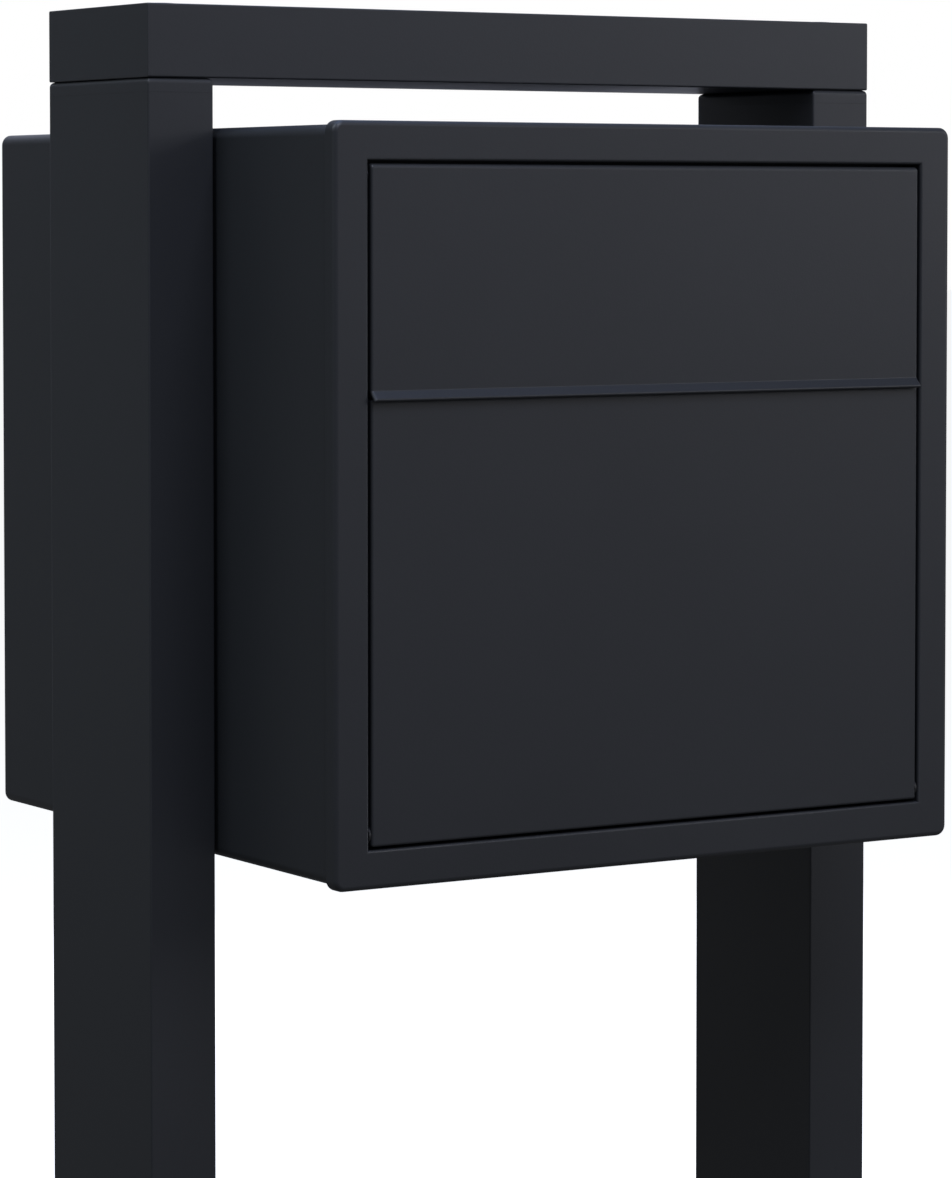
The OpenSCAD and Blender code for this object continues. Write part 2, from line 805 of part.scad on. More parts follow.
module flap() {
    color(coat) difference() {
        in_box() {
            along_x(door_w) flap_profile();
            for (side = [-1, 1]) translate([side * (door_w - flap_t) / 2, 0, 0])
                along_x(flap_t) flap_side_profile();
        }
        for (side = [-1, 1]) at_flap_axis(side) translate([0, 0, -flap_t - skim])
            cylinder(r = flap_pin_r, h = flap_t + 2 * skim);
    }
}

module flap_pin(side) {
    pin_l = flap_t + ear_gap + ear_t + bush_collar_t + flap_pin_tail;
    color(zinc) at_flap_axis(side) {
        translate([0, 0, -pin_l]) cylinder(r = flap_pin_r, h = pin_l);
        cylinder(r = flap_pin_head_r, h = flap_pin_head_t);
    }
}

// ---------- the object ----------

post(-1);  // left_post
post(1);  // right_post
post_cap(-1);  // left_post_cap
post_cap(1);  // right_post_cap
foot_plate(-1);  // left_foot_plate
foot_plate(1);  // right_foot_plate
crossbeam();
beam_end(-1);  // left_beam_end
beam_end(1);  // right_beam_end
beam_screws();
beam_washers();
beam_plugs();
box_shell();
box_back();
frame_rail(0);  // bottom_frame_rail
frame_rail(1);  // left_frame_rail
frame_rail(2);  // top_frame_rail
frame_rail(3);  // right_frame_rail
side_stop(-1);  // left_door_stop
top_stop();  // top_door_stop
side_stop(1);  // right_door_stop
backing_plate(-1);  // left_backing_plate
backing_plate(1);  // right_backing_plate
box_screws(-1);  // left_box_screws
box_screws(1);  // right_box_screws
spacers(-1);  // left_spacers
spacers(1);  // right_spacers
rivet_nuts(-1);  // left_rivet_nuts
rivet_nuts(1);  // right_rivet_nuts
hinge_pin(-1);  // left_hinge_pin
hinge_pin(1);  // right_hinge_pin
door_bumpers();
door_pan();
hinge_bush(-1);  // left_hinge_bush
hinge_bush(1);  // right_hinge_bush
flap_bush(-1);  // left_flap_bush
flap_bush(1);  // right_flap_bush
flap_bumpers();
slot_baffle();
baffle_rivets();
lock_housing();
lock_nut();
flap();
flap_pin(-1);  // left_flap_pin
flap_pin(1);  // right_flap_pin
lock_plug();
lock_cam();
cam_screw();
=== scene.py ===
"""Free-standing letterbox: its sheet-metal skins, its finishes and a studio, round its frame."""

import json
import math

import bmesh
import bpy
import numpy as np
from bpy.props import FloatProperty, FloatVectorProperty, PointerProperty, StringProperty
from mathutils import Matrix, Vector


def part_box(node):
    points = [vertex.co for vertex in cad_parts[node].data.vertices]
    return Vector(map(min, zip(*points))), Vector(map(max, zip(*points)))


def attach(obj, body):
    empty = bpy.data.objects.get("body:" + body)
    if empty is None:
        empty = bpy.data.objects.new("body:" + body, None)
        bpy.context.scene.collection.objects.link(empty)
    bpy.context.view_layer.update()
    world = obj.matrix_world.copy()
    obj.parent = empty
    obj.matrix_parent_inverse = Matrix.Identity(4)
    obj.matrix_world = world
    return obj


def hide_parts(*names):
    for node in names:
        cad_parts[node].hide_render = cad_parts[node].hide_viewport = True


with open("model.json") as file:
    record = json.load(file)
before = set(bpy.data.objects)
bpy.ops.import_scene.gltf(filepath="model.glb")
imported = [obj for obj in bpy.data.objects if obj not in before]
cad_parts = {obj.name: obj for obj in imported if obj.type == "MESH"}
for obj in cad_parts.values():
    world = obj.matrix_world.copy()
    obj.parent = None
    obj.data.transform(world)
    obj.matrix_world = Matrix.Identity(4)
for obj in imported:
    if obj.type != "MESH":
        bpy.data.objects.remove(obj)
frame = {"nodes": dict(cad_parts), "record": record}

bl_info = {
    "name": "Letterbox on posts",
    "version": (1, 0, 0),
    "blender": (4, 5, 0),
    "location": "View3D > Sidebar > Letterbox",
    "description": "Builds the skins, finishes and studio of a free-standing letterbox",
    "category": "Object",
}

MM = 0.001
QUARTER = 8          # steps in a quarter turn of a bend
FACE_STEPS = 4       # steps between two stops of a flat face
TURN_STEPS = 48      # steps round a turned piece
WELD_DISTANCE = 1e-6
SHARP_ANGLE = math.radians(32)

WELD_RIPPLE = 3 * MM         # from one ripple of a weld bead to the next
DRAIN_INSET = 50 * MM        # from a drain hole to the ends and sides of the shell's floor
EYE_WALL = 0.1 * MM          # metal of a cheek's eye outside the flap's bush
EYE_NECK = 2.5 * MM          # from the flap's axis back to the neck of the eye
EYE_SHOULDER = 8 * MM        # from the flap's axis down to the cheek's shoulder
BAFFLE_SLOPE = math.radians(40)
BAFFLE_FLANGE = 14 * MM      # riveted flange of the baffle
RUNNING_GAP = 0.06 * MM      # round the lock's plug
LOCK_EDGE = 0.5 * MM         # edge radius of the lock's plug
KEY_SLOT = (1 * MM, 4 * MM)  # half width and half height
KEY_EDGE = 0.3 * MM          # corner radius of the key slot
KEY_LEAD = 0.4 * MM          # chamfer of the key slot's mouth
KEY_DEPTH = 6 * MM
DRIVE = (4 * MM, 2 * MM)     # half width and length of the square that turns the cam
CAM_END = 7 * MM             # radius of the cam's far end
CAM_SCREW = (3 * MM, 3 * MM, 4 * MM)    # head's height, shank's radius, socket's width
BOX_SCREW = (4 * MM, 4 * MM)            # head's height, shank's radius
STIFFENER = (6 * MM, 0.3 * MM)          # corner radius, edge radius
PINS = {"hinge": ("stand_and_box", 2.5 * MM, 2 * MM),   # body, shank's radius, head's height
        "flap": ("flap", 1.5 * MM, 1 * MM)}

DRIFT = (0.7, 1.3)           # sum of the two noises, from the dark colour to the light one
PATCHES = (0.3, 0.7)         # slow noise, from the smoothest place to the roughest
ROUGH_BAND = 0.03            # roughness to either side of a finish's own

FLOOR_RINGS = (0.0, 2.0, 8.0, 60.0)
SENSOR = 36.0
# painted shade: the floor's glow is lowered beside the feet, darker where their shade falls
GLOW_PAINTED_SHADE = (0.45, 0.4, 1.7)    # glow beside the feet, and from where to where it grows
# name, setting that holds its watts, place, target, width and colour
LAMPS = (
    ("key", "key", (3.4, -2.6, 2.0), (0.0, 0.0, 0.95), 1.2, "#F7F7FF"),
    ("front", "front", (0.3, -4.0, 1.6), (0.0, 0.0, 0.9), 2.4, "#E8EAFF"),
    ("overhead", "over", (0.0, 0.3, 4.0), (0.0, 0.0, 1.0), 2.6, "#A8C3FF"),
    ("high front", "high", (-0.3, -2.2, 3.4), (0.0, 0.0, 1.0), 1.4, "#E4E9FF"),
    ("side", "side", (-1.6, 0.0, 2.4), (-0.2, 0.0, 0.9), 1.0, "#EBF5FF"),
    ("rear", "rear", (1.0, 3.5, 1.9), (0.0, 0.0, 1.0), 3.6, "#E2E8FF"),
)
SURROUND = "#F4F8FF"


# ---------- sizes and colours a user would change ----------

def length(name, description, default):
    """A length property in metres."""
    return FloatProperty(name=name, description=description, default=default, unit="LENGTH",
                         subtype="DISTANCE", min=0.0, precision=5)


def colour(name, description, default):
    """A colour property, written as an sRGB hex value."""
    return StringProperty(name=name, description=description, default=default)


class LetterboxSizes(bpy.types.PropertyGroup):
    """Sizes of the stand and of the box that its own frame doesn't give directly."""

    tube_wall: length("Tube wall", "Wall of the posts and of the crossbeam", 3 * MM)
    tube_edge: length("Tube edge", "Radius of the tubes' long edges", 1 * MM)
    cap_edge: length("Cap edge", "Radius of the post caps' top edge", 3 * MM)
    foot_corner: length("Foot corner", "Corner radius of the foot plates", 10 * MM)
    anchor_radius: length("Anchor hole", "Radius of an anchor hole", 6 * MM)
    anchor_edge: length("Anchor distance", "From an anchor hole to the plate's edges", 20 * MM)
    weld_leg: length("Weld leg", "Leg of the fillet weld round the foot of a post", 4 * MM)
    sheet: length("Sheet", "Sheet thickness of shell, back and door", 1.5 * MM)
    body_bend: length("Body bend", "Outer bend radius of the shell's long edges", 6 * MM)
    proud: length("Frame stands proud", "How far the frame stands out round the shell", 2 * MM)
    strip: length("Frame flange", "Depth of the frame's outer flange", 10 * MM)
    face: length("Frame face", "Width of the frame's face", 20.9 * MM)
    frame_sheet: length("Frame sheet", "Sheet thickness of the frame and of the flap", 2 * MM)
    frame_corner: length("Frame corner", "Corner radius of the frame, from the front", 6 * MM)
    frame_edge: length("Frame edge", "Radius of the frame's outer front edge", 3 * MM)
    opening_edge: length("Opening edge", "Radius of the opening's front edge", 1.5 * MM)
    door_edge: length("Door edge", "Radius of the door's front edges", 1.5 * MM)
    roll: length("Flap roll", "Outer radius of the roll along the flap's top", 6 * MM)
    brow: length("Flap brow", "Radius of the flap's top front edge", 2.5 * MM)
    lip: length("Finger lip", "How far the lip stands out in front", 4.5 * MM)
    slot_width: length("Slot width", "Width of the mail slot", 275 * MM)
    slot_height: length("Slot height", "Height of the mail slot", 40 * MM)
    slot_corner: length("Slot corner", "Corner radius of the mail slot", 3 * MM)
    plug_radius: length("Plug radius", "Radius of the crossbeam's access plugs", 12 * MM)
    access_radius: length("Access hole", "Radius of the crossbeam's access holes", 10 * MM)
    flap_bumper: length("Flap bumper", "Radius of the bumpers behind the flap", 5 * MM)
    door_bumper: length("Door bumper", "Radius of the bumpers on the stops", 4 * MM)
    baffle: length("Baffle sheet", "Sheet thickness of the slot's baffle", 1.2 * MM)
    barrel: length("Lock barrel", "Radius of the lock's threaded barrel", 9.5 * MM)
    lock_plug: length("Lock plug", "Radius of the lock's turning plug", 6.5 * MM)
    pitch: length("Thread pitch", "Pitch of the lock's thread", 1 * MM)
    head_radius: length("Screw head", "Radius of the box screws' heads", 6.6 * MM)
    socket: length("Socket", "Width across the box screws' hexagon sockets", 5 * MM)
    drain_radius: length("Drain hole", "Radius of a drain hole", 3 * MM)


class LetterboxColours(bpy.types.PropertyGroup):
    """Colours, as sRGB hex values."""

    coat: colour("Powder coat", "Anthracite powder coat", "#26282B")
    zinc: colour("Zinc plate", "Bright zinc plating", "#B9BDC0")
    blackened: colour("Blackened steel", "Phosphated and oiled steel", "#3B3C3E")
    polyamide: colour("Polyamide", "Black moulded polyamide", "#141415")
    rubber: colour("Rubber", "Black moulded rubber", "#101011")
    nickel: colour("Nickel plate", "Satin nickel plating", "#C6C3BA")
    floor: colour("Floor", "Studio floor", "#F4F4F3")


class LetterboxStudio(bpy.types.PropertyGroup):
    """Camera and light of the studio."""

    eye: FloatVectorProperty(name="Camera", description="Where the camera stands", size=3,
                             subtype="TRANSLATION", default=(-1.3220, -2.1398, 1.0859))
    yaw: FloatProperty(name="Camera yaw", description="Turn from the box's own front",
                       subtype="ANGLE", default=math.radians(31.859))
    tilt: FloatProperty(name="Camera tilt", description="Downward tilt", subtype="ANGLE",
                        default=math.radians(2.628))
    lens: FloatProperty(name="Lens", description="Focal length in millimetres", default=131.77)
    drop: FloatProperty(name="View drop", description="Vertical shift of the view",
                        default=-0.15)
    sky: FloatProperty(name="Surround", description="Light from all round", default=0.128)
    key: FloatProperty(name="Key", description="Watts of the lamp at the right", default=36.6)
    front: FloatProperty(name="Front", description="Watts of the wide lamp in front",
                         default=5.4)
    over: FloatProperty(name="Overhead", description="Watts of the lamp overhead", default=54.1)
    high: FloatProperty(name="High front", description="Watts of the lamp high in front",
                        default=53.4)
    side: FloatProperty(name="Side", description="Watts of the lamp high at the left",
                        default=17.8)
    rear: FloatProperty(name="Rear", description="Watts of the panel behind", default=36.0)
    glow: FloatProperty(name="Floor glow", description="How far the floor is lit evenly",
                        default=0.82)


# ---------- surfaces ----------

def stops(places, count=FACE_STEPS):
    """Coordinates through the given places, count equal steps from each place to the next."""
    places = np.asarray(places, float)
    share = np.arange(count) / count
    inner = places[:-1, None] + np.diff(places)[:, None] * share
    return np.append(inner.ravel(), places[-1])


def outline(us, vs, radius, inset, steps=QUARTER):
    """Closed outline of a round-cornered rectangle, set in from the outer one.

    A side point keeps its place along the side until the mitre reaches it.  A corner point is
    the corner's centre plus (radius - inset) times (cos a, sin a); once the inset is more than
    the radius, every corner point is the mitred corner itself.
    """
    bend = max(radius - inset, 0.0)
    closed = max(inset - radius, 0.0)
    u = np.clip(us, us[0] + closed, us[-1] - closed)
    v = np.clip(vs, vs[0] + closed, vs[-1] - closed)
    a = np.linspace(0, math.pi / 2, steps + 1)[1:-1]
    c, s = bend * np.cos(a), bend * np.sin(a)
    sides = [
        (u, np.full_like(u, v[0] - bend)), (u[-1] + s, v[0] - c),
        (np.full_like(v, u[-1] + bend), v), (u[-1] + c, v[-1] + s),
        (u[::-1], np.full_like(u, v[-1] + bend)), (u[0] - s, v[-1] + c),
        (np.full_like(v, u[0] - bend), v[::-1]), (u[0] - c, v[0] - s),
    ]
    return np.concatenate([np.stack(side, axis=-1) for side in sides])


def arc(centre, radius, start, end, steps=QUARTER):
    """Points centre + radius * (cos a, sin a) for the angles from start to end, in degrees."""
    a = np.radians(np.linspace(start, end, steps + 1))
    return np.asarray(centre) + radius * np.stack([np.cos(a), np.sin(a)], axis=-1)


class Skin:
    """Points and faces of one piece, gathered surface by surface and welded into one mesh.

    A surface is worked out in its own axes (u, v, w); order says which of x, y and z each is.
    """

    def __init__(self, order="xyz"):
        self.order = [order.index(axis) for axis in "xyz"]
        self.points = []
        self.faces = []
        self.total = 0

    def grid(self, points, around=False, along=False, keep=None):
        """Four-sided faces over rows and columns of points, closed round columns or rows."""
        rows, columns = points.shape[:2]
        index = self.total + np.arange(rows * columns).reshape(rows, columns)
        if around:
            index = np.concatenate([index, index[:, :1]], axis=1)
        if along:
            index = np.concatenate([index, index[:1]], axis=0)
        faces = np.stack([index[:-1, :-1], index[:-1, 1:], index[1:, 1:], index[1:, :-1]], axis=-1)
        faces = faces if keep is None else faces[keep]
        self.points.append(points.reshape(-1, 3)[:, self.order])
        self.faces += faces.reshape(-1, 4).tolist()
        self.total += rows * columns

    def lid(self, loop):
        """One flat face over a closed loop of points."""
        self.points.append(loop[:, self.order])
        self.faces.append(list(range(self.total, self.total + len(loop))))
        self.total += len(loop)

    def rings(self, us, vs, radius, profile, closed=False, steps=QUARTER):
        """The profile's points (inset, w) carried round the outline of a rectangle."""
        points = [np.insert(outline(us, vs, radius, d, steps), 2, w, axis=1) for d, w in profile]
        self.grid(np.stack(points), around=True, along=closed)

    def sheet(self, us, vs, shape, holes=()):
        """shape(u, v) over the grid of us and vs, with holes.

        A hole is (u, v, half width, half height, corner radius, reach): the grid's own lines
        bound a block that reaches that far past the hole, and rows of points run from that
        block's border to the hole's edge.  The edge point for the border point p is
        q + radius * (p - q) / |p - q|, where q is p brought inside the hole's corner centres.
        """
        u, v = np.meshgrid(us, vs)
        keep = np.ones((len(vs) - 1, len(us) - 1), bool)
        for hole in holes:
            cols = block(us, hole[0], hole[2] + hole[5])
            rows = block(vs, hole[1], hole[3] + hole[5])
            keep[rows[0]:rows[-1], cols[0]:cols[-1]] = False
            border = outline(us[cols], vs[rows], 0.0, 0.0, 1)
            edge = hole_edge(border, hole)
            share = np.linspace(0, 1, 4)[:, None, None]
            band = border + (edge - border) * share
            self.grid(shape(band[..., 0], band[..., 1]), around=True)
        self.grid(shape(u, v), keep=keep)

    def hole_walls(self, us, vs, near, far, holes):
        """Walls of the holes between the surfaces near(u, v) and far(u, v)."""
        for hole in holes:
            cols = block(us, hole[0], hole[2] + hole[5])
            rows = block(vs, hole[1], hole[3] + hole[5])
            edge = hole_edge(outline(us[cols], vs[rows], 0.0, 0.0, 1), hole)
            walls = [near(edge[:, 0], edge[:, 1]), far(edge[:, 0], edge[:, 1])]
            self.grid(np.stack(walls), around=True)

    def fill(self, us, vs, radius, inset, w, holes=()):
        """Flat round-cornered face at w: rings in to the corner centres, then a grid."""
        deep = max(radius, inset)
        insets = np.linspace(inset, deep, 4)
        self.rings(us, vs, radius, [(d, w) for d in insets])
        close = deep - radius
        u = np.clip(us, us[0] + close, us[-1] - close)
        v = np.clip(vs, vs[0] + close, vs[-1] - close)
        self.sheet(u, v, level(w), holes)

    def turn(self, profile, centre, ring=False):
        """The profile's points (radius, w) turned round the w axis through centre (u, v)."""
        a = np.linspace(0, 2 * math.pi, TURN_STEPS, endpoint=False)
        radius, w = np.hsplit(np.asarray(profile, float), 2)
        u = centre[0] + radius * np.cos(a)
        v = centre[1] + radius * np.sin(a)
        points = np.stack([u, v, np.broadcast_to(w, u.shape)], axis=-1)
        self.grid(points, around=True, along=ring)

    def loops(self, loops):
        """Closed loops of as many points each, joined in turn, with a lid on the last one."""
        self.grid(np.stack(loops), around=True)
        self.lid(loops[-1])

    def carry(self, profile, places):
        """The closed profile's points (u, v) repeated at each place along w, lids at both ends."""
        profile = np.asarray(profile, float)
        layers = [np.insert(profile, 2, w, axis=1) for w in places]
        self.grid(np.stack(layers), around=True)
        self.lid(layers[0][::-1])
        self.lid(layers[-1])

    def piece(self, name, finish, slot, body, *nodes):
        """Welds the surfaces, turns the faces outward and hands the piece to its body."""
        mesh = bpy.data.meshes.new(name)
        mesh.from_pydata(np.concatenate(self.points).tolist(), [], self.faces)
        work = bmesh.new()
        work.from_mesh(mesh)
        bmesh.ops.remove_doubles(work, verts=work.verts, dist=WELD_DISTANCE)
        bmesh.ops.dissolve_degenerate(work, edges=work.edges, dist=WELD_DISTANCE)
        bmesh.ops.recalc_face_normals(work, faces=work.faces)
        work.to_mesh(mesh)
        work.free()
        mesh.shade_smooth()
        mesh.set_sharp_from_angle(angle=SHARP_ANGLE)
        made = bpy.data.objects.new(name, mesh)
        bpy.context.scene.collection.objects.link(made)
        even = made.modifiers.new("even shading", "WEIGHTED_NORMAL")
        even.keep_sharp = True
        even.weight = 100
        mesh.materials.append(finish)
        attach(made, body)
        if nodes:
            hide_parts(*nodes)
        return made


def block(values, middle, reach):
    """Indices of the grid lines within reach of middle."""
    return np.flatnonzero(np.abs(values - middle) <= reach + 1e-7)


def hole_edge(border, hole):
    """The hole's edge point for each point of the block's border."""
    middle, half = np.array(hole[:2]), np.array(hole[2:4])
    inner = np.clip(border, middle - half + hole[4], middle + half - hole[4])
    away = border - inner
    return inner + hole[4] * away / np.linalg.norm(away, axis=-1, keepdims=True)


def softened(points, radii, closed=True, steps=3):
    """A polygon's outline with each corner rounded by its radius.

    A corner's arc has its centre on the bisector, at radius / sin(half the corner's angle).
    """
    points = np.asarray(points, float)
    radii = np.broadcast_to(radii, len(points))
    before, after = np.roll(points, 1, axis=0), np.roll(points, -1, axis=0)
    rounded = []
    for p, a, b, radius in zip(points, before, after, radii):
        e, f = (a - p) / np.linalg.norm(a - p), (b - p) / np.linalg.norm(b - p)
        half = math.acos(np.clip(e @ f, -1, 1)) / 2
        centre = p + (e + f) / np.linalg.norm(e + f) * radius / math.sin(half)
        start = p + e * radius / math.tan(half) - centre
        end = p + f * radius / math.tan(half) - centre
        share = np.linspace(0, 1, steps + 1)[:, None]
        swing = math.pi - 2 * half
        sweep = (np.sin((1 - share) * swing) * start + np.sin(share * swing) * end)
        rounded.append(centre + sweep / math.sin(swing))
    if not closed:
        rounded[0], rounded[-1] = points[:1], points[-1:]
    return np.concatenate(rounded)


def bent_path(start, heading, moves):
    """Points and headings along straight stretches (length, 0) and bends (radius, turn).

    A bend's point is its centre plus the radius, turned; angles are in degrees, left is plus.
    """
    place, heading = np.array(start, float), math.radians(heading)
    points, headings = [place], [heading]
    for amount, turn in moves:
        turn = math.radians(turn)
        if turn:
            side = math.copysign(math.pi / 2, turn)
            centre = place + amount * np.array([math.cos(heading + side), math.sin(heading + side)])
            a = heading + np.linspace(0, turn, QUARTER + 1)[1:]
            out = np.stack([np.cos(a - side), np.sin(a - side)], axis=-1)
            points.extend(centre + amount * out)
            headings.extend(a)
        else:
            share = np.linspace(0, amount, FACE_STEPS + 1)[1:, None]
            points.extend(place + share * np.array([math.cos(heading), math.sin(heading)]))
            headings.extend([heading] * FACE_STEPS)
        place, heading = points[-1], headings[-1]
    return np.array(points), np.array(headings)


def thickened(start, heading, moves, thickness):
    """The two faces of a bent sheet, its ends half round: right one along the path, left one.

    The left face is the path moved by the thickness to its left; both faces have as many
    points and meet at both ends.
    """
    right, headings = bent_path(start, heading, moves)
    normal = np.stack([-np.sin(headings), np.cos(headings)], axis=-1)
    ahead = np.stack([np.cos(headings), np.sin(headings)], axis=-1)
    left = right + thickness * normal
    a = np.linspace(0, math.pi / 2, QUARTER // 2 + 1)[1:, None]
    half = thickness / 2
    faces = []
    for face, way in ((right, -1), (left, 1)):
        ends = []
        for i, side in ((0, -1), (-1, 1)):
            middle = (right[i] + left[i]) / 2
            ends.append(middle + half * (way * normal[i] * np.cos(a) + side * ahead[i] * np.sin(a)))
        faces.append(np.concatenate([ends[0][::-1], face, ends[1]]))
    return faces


def level(w):
    """The flat surface at height w, as a function of u and v."""
    return lambda u, v: np.stack([u, v, np.full_like(u, w)], axis=-1)


def round_hole(u, v, radius, reach):
    """A round hole for Skin.sheet."""
    return (u, v, radius, radius, radius, reach)


def bevelled(w0, w1, edge0, edge1):
    """Profile (inset, w) of a slab's side from w0 up to w1, its two edges round."""
    low = arc((edge0, w0 + edge0), edge0, 270, 180)
    high = arc((edge1, w1 - edge1), edge1, 180, 90)
    return np.concatenate([low, high])


def centres(node, radius):
    """Pairs of x, y and z of the outermost round pieces of a node that holds several."""
    low, high = corners(node)
    return np.stack([low + radius, high - radius], axis=-1)


def corners(node):
    """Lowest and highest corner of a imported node, as arrays."""
    low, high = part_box(node)
    return np.array(low), np.array(high)


# ---------- finishes ----------

def linear(hex_colour):
    """An sRGB hex value as linear red, green, blue and alpha."""
    parts = [int(hex_colour[i:i + 2], 16) / 255 for i in (1, 3, 5)]
    return [c / 12.92 if c <= 0.04045 else ((c + 0.055) / 1.055) ** 2.4 for c in parts] + [1.0]


def add(tree, kind, inputs=None, **settings):
    """Adds one node with its settings; an input is a constant, or another node's output."""
    made = tree.nodes.new(kind)
    for name, value in settings.items():
        setattr(made, name, value)
    for name, value in (inputs or {}).items():
        if isinstance(value, bpy.types.NodeSocket):
            tree.links.new(value, made.inputs[name])
        else:
            made.inputs[name].default_value = value
    return made


def per_metre(millimetres):
    """Scale of a noise whose grains are that far apart."""
    return 1.0 / (millimetres * MM)


def finish(name, hex_colour, metallic, roughness, grain, depth, spread, sheen_scale=220.0):
    """Surface with a fine grain, a slow drift of colour and a slow drift of roughness.

    grain and sheen_scale are distances in millimetres between grains and between the slow
    patches; depth is the grain's height in millimetres; spread is the share by which the
    colour drifts.
    """
    made = bpy.data.materials.new(name)
    made.use_nodes = True
    tree = made.node_tree
    tree.nodes.clear()
    place = add(tree, "ShaderNodeTexCoord").outputs["Object"]
    fine = add(tree, "ShaderNodeTexNoise", {"Vector": place, "Scale": per_metre(grain),
                                            "Detail": 3.0, "Roughness": 0.55})
    slow = add(tree, "ShaderNodeTexNoise", {"Vector": place, "Scale": per_metre(sheen_scale),
                                            "Detail": 4.0, "Roughness": 0.6})
    base = linear(hex_colour)
    dark = [c * (1 - spread) for c in base[:3]] + [1.0]
    light = [c * (1 + spread) for c in base[:3]] + [1.0]
    both = add(tree, "ShaderNodeMath", {0: slow.outputs["Fac"], 1: fine.outputs["Fac"]},
               operation="ADD")
    drift = add(tree, "ShaderNodeMapRange", {"Value": both.outputs[0],
                                             "From Min": DRIFT[0], "From Max": DRIFT[1]})
    mix = add(tree, "ShaderNodeMixRGB", {"Fac": drift.outputs["Result"], "Color1": dark,
                                         "Color2": light})
    rough = add(tree, "ShaderNodeMapRange", {"Value": slow.outputs["Fac"],
                                             "From Min": PATCHES[0], "From Max": PATCHES[1],
                                             "To Min": roughness - ROUGH_BAND,
                                             "To Max": roughness + ROUGH_BAND})
    bump = add(tree, "ShaderNodeBump", {"Height": fine.outputs["Fac"], "Strength": 1.0,
                                        "Distance": depth * MM})
    shader = add(tree, "ShaderNodeBsdfPrincipled", {
        "Base Color": mix.outputs["Color"], "Metallic": metallic,
        "Roughness": rough.outputs["Result"], "Normal": bump.outputs["Normal"]})
    add(tree, "ShaderNodeOutputMaterial", {"Surface": shader.outputs["BSDF"]})
    return made


def slab(skin, us, vs, radius, low, high, edge_low, edge_high, holes=()):
    """Solid plate between two levels with round corners, round edges and through holes."""
    skin.rings(us, vs, radius, bevelled(low, high, edge_low, edge_high))
    skin.fill(us, vs, radius, edge_low, low, holes)
    skin.fill(us, vs, radius, edge_high, high, holes)
    skin.hole_walls(us, vs, level(low), level(high), holes)


def plate(name, node, order, corner, soft, slot, body, steps=FACE_STEPS, look="powder coat"):
    """A flat plate that fills its node's box; soft is its edges' radius, low and high."""
    low, high = corners(node)
    u, v, w = ["xyz".index(axis) for axis in order]
    us = stops([low[u] + corner, high[u] - corner], steps)
    vs = stops([low[v] + corner, high[v] - corner], steps)
    skin = Skin(order)
    slab(skin, us, vs, corner, low[w], high[w], *soft)
    skin.piece(name, made_of(look), slot, body, node)


def tray(skin, us, vs, radius, face, rim, sheet, edge):
    """Folded tray: a flat face, a bend of radius edge, and flanges that end at rim."""
    way = math.copysign(1.0, rim - face)
    inner = max(edge - sheet, sheet / 3)
    soft = sheet / 4
    profile = np.concatenate([
        arc((edge, edge), edge, 270, 180),
        arc((soft, abs(rim - face) - soft), soft, 180, 90, 3),
        arc((sheet - soft, abs(rim - face) - soft), soft, 90, 0, 3),
        arc((sheet + inner, sheet + inner), inner, 180, 270)])
    profile[:, 1] = face + way * profile[:, 1]
    skin.rings(us, vs, radius, profile)
    skin.fill(us, vs, radius, edge, face)
    skin.fill(us, vs, radius, sheet + inner, face + way * sheet)


def wrapped(us, vs, radius, inset):
    """A surface that runs round a rectangle's outline: its arc lengths and its shape(s, w).

    s is measured along the outer outline, so the same s meets the same place on every inset.
    """
    outer = outline(us, vs, radius, 0.0)
    outer = np.concatenate([outer, outer[:1]])
    s = np.insert(np.cumsum(np.linalg.norm(np.diff(outer, axis=0), axis=1)), 0, 0.0)
    ring = outline(us, vs, radius, inset)
    ring = np.concatenate([ring, ring[:1]])
    return s, lambda a, w: np.stack([np.interp(a, s, ring[:, 0]), np.interp(a, s, ring[:, 1]), w],
                                    axis=-1)


def screw(skin, middle, top, head, tip, radius, shank, across):
    """Socket screw along w from its head's top to its tip.

    The hexagon socket's loop has as many points as the head's circle: at the angle a its
    radius is (across / 2) / cos(a - the middle of a's side).
    """
    a = np.linspace(0, 2 * math.pi, TURN_STEPS, endpoint=False)
    unit = np.stack([np.cos(a), np.sin(a)], axis=-1)
    side = (a % (math.pi / 3)) - math.pi / 6
    hexagon = unit * (across / 2 / np.cos(side))[:, None]
    soft = abs(head) / 8
    way = math.copysign(1.0, head)
    loops = [(hexagon, top + 0.6 * head), (hexagon, top + way * soft / 2),
             (hexagon * 1.08, top), (unit * (radius - soft), top),
             (unit * (radius - soft / 4), top + way * soft / 3), (unit * radius, top + way * soft),
             (unit * radius, top + head), (unit * shank, top + head),
             (unit * shank, tip - way * soft), (unit * (shank - soft), tip)]
    placed = [np.insert(middle + points, 2, w, axis=1) for points, w in loops]
    skin.lid(placed[0])
    skin.loops(placed)


def made_of(name):
    """A finish made by the finishes operator."""
    return bpy.data.materials[name]


# ---------- operators ----------

class LetterboxOperator:
    """What every operator here shares."""

    bl_options = {"REGISTER", "UNDO"}

    @staticmethod
    def sizes(context):
        return context.scene.letterbox_sizes


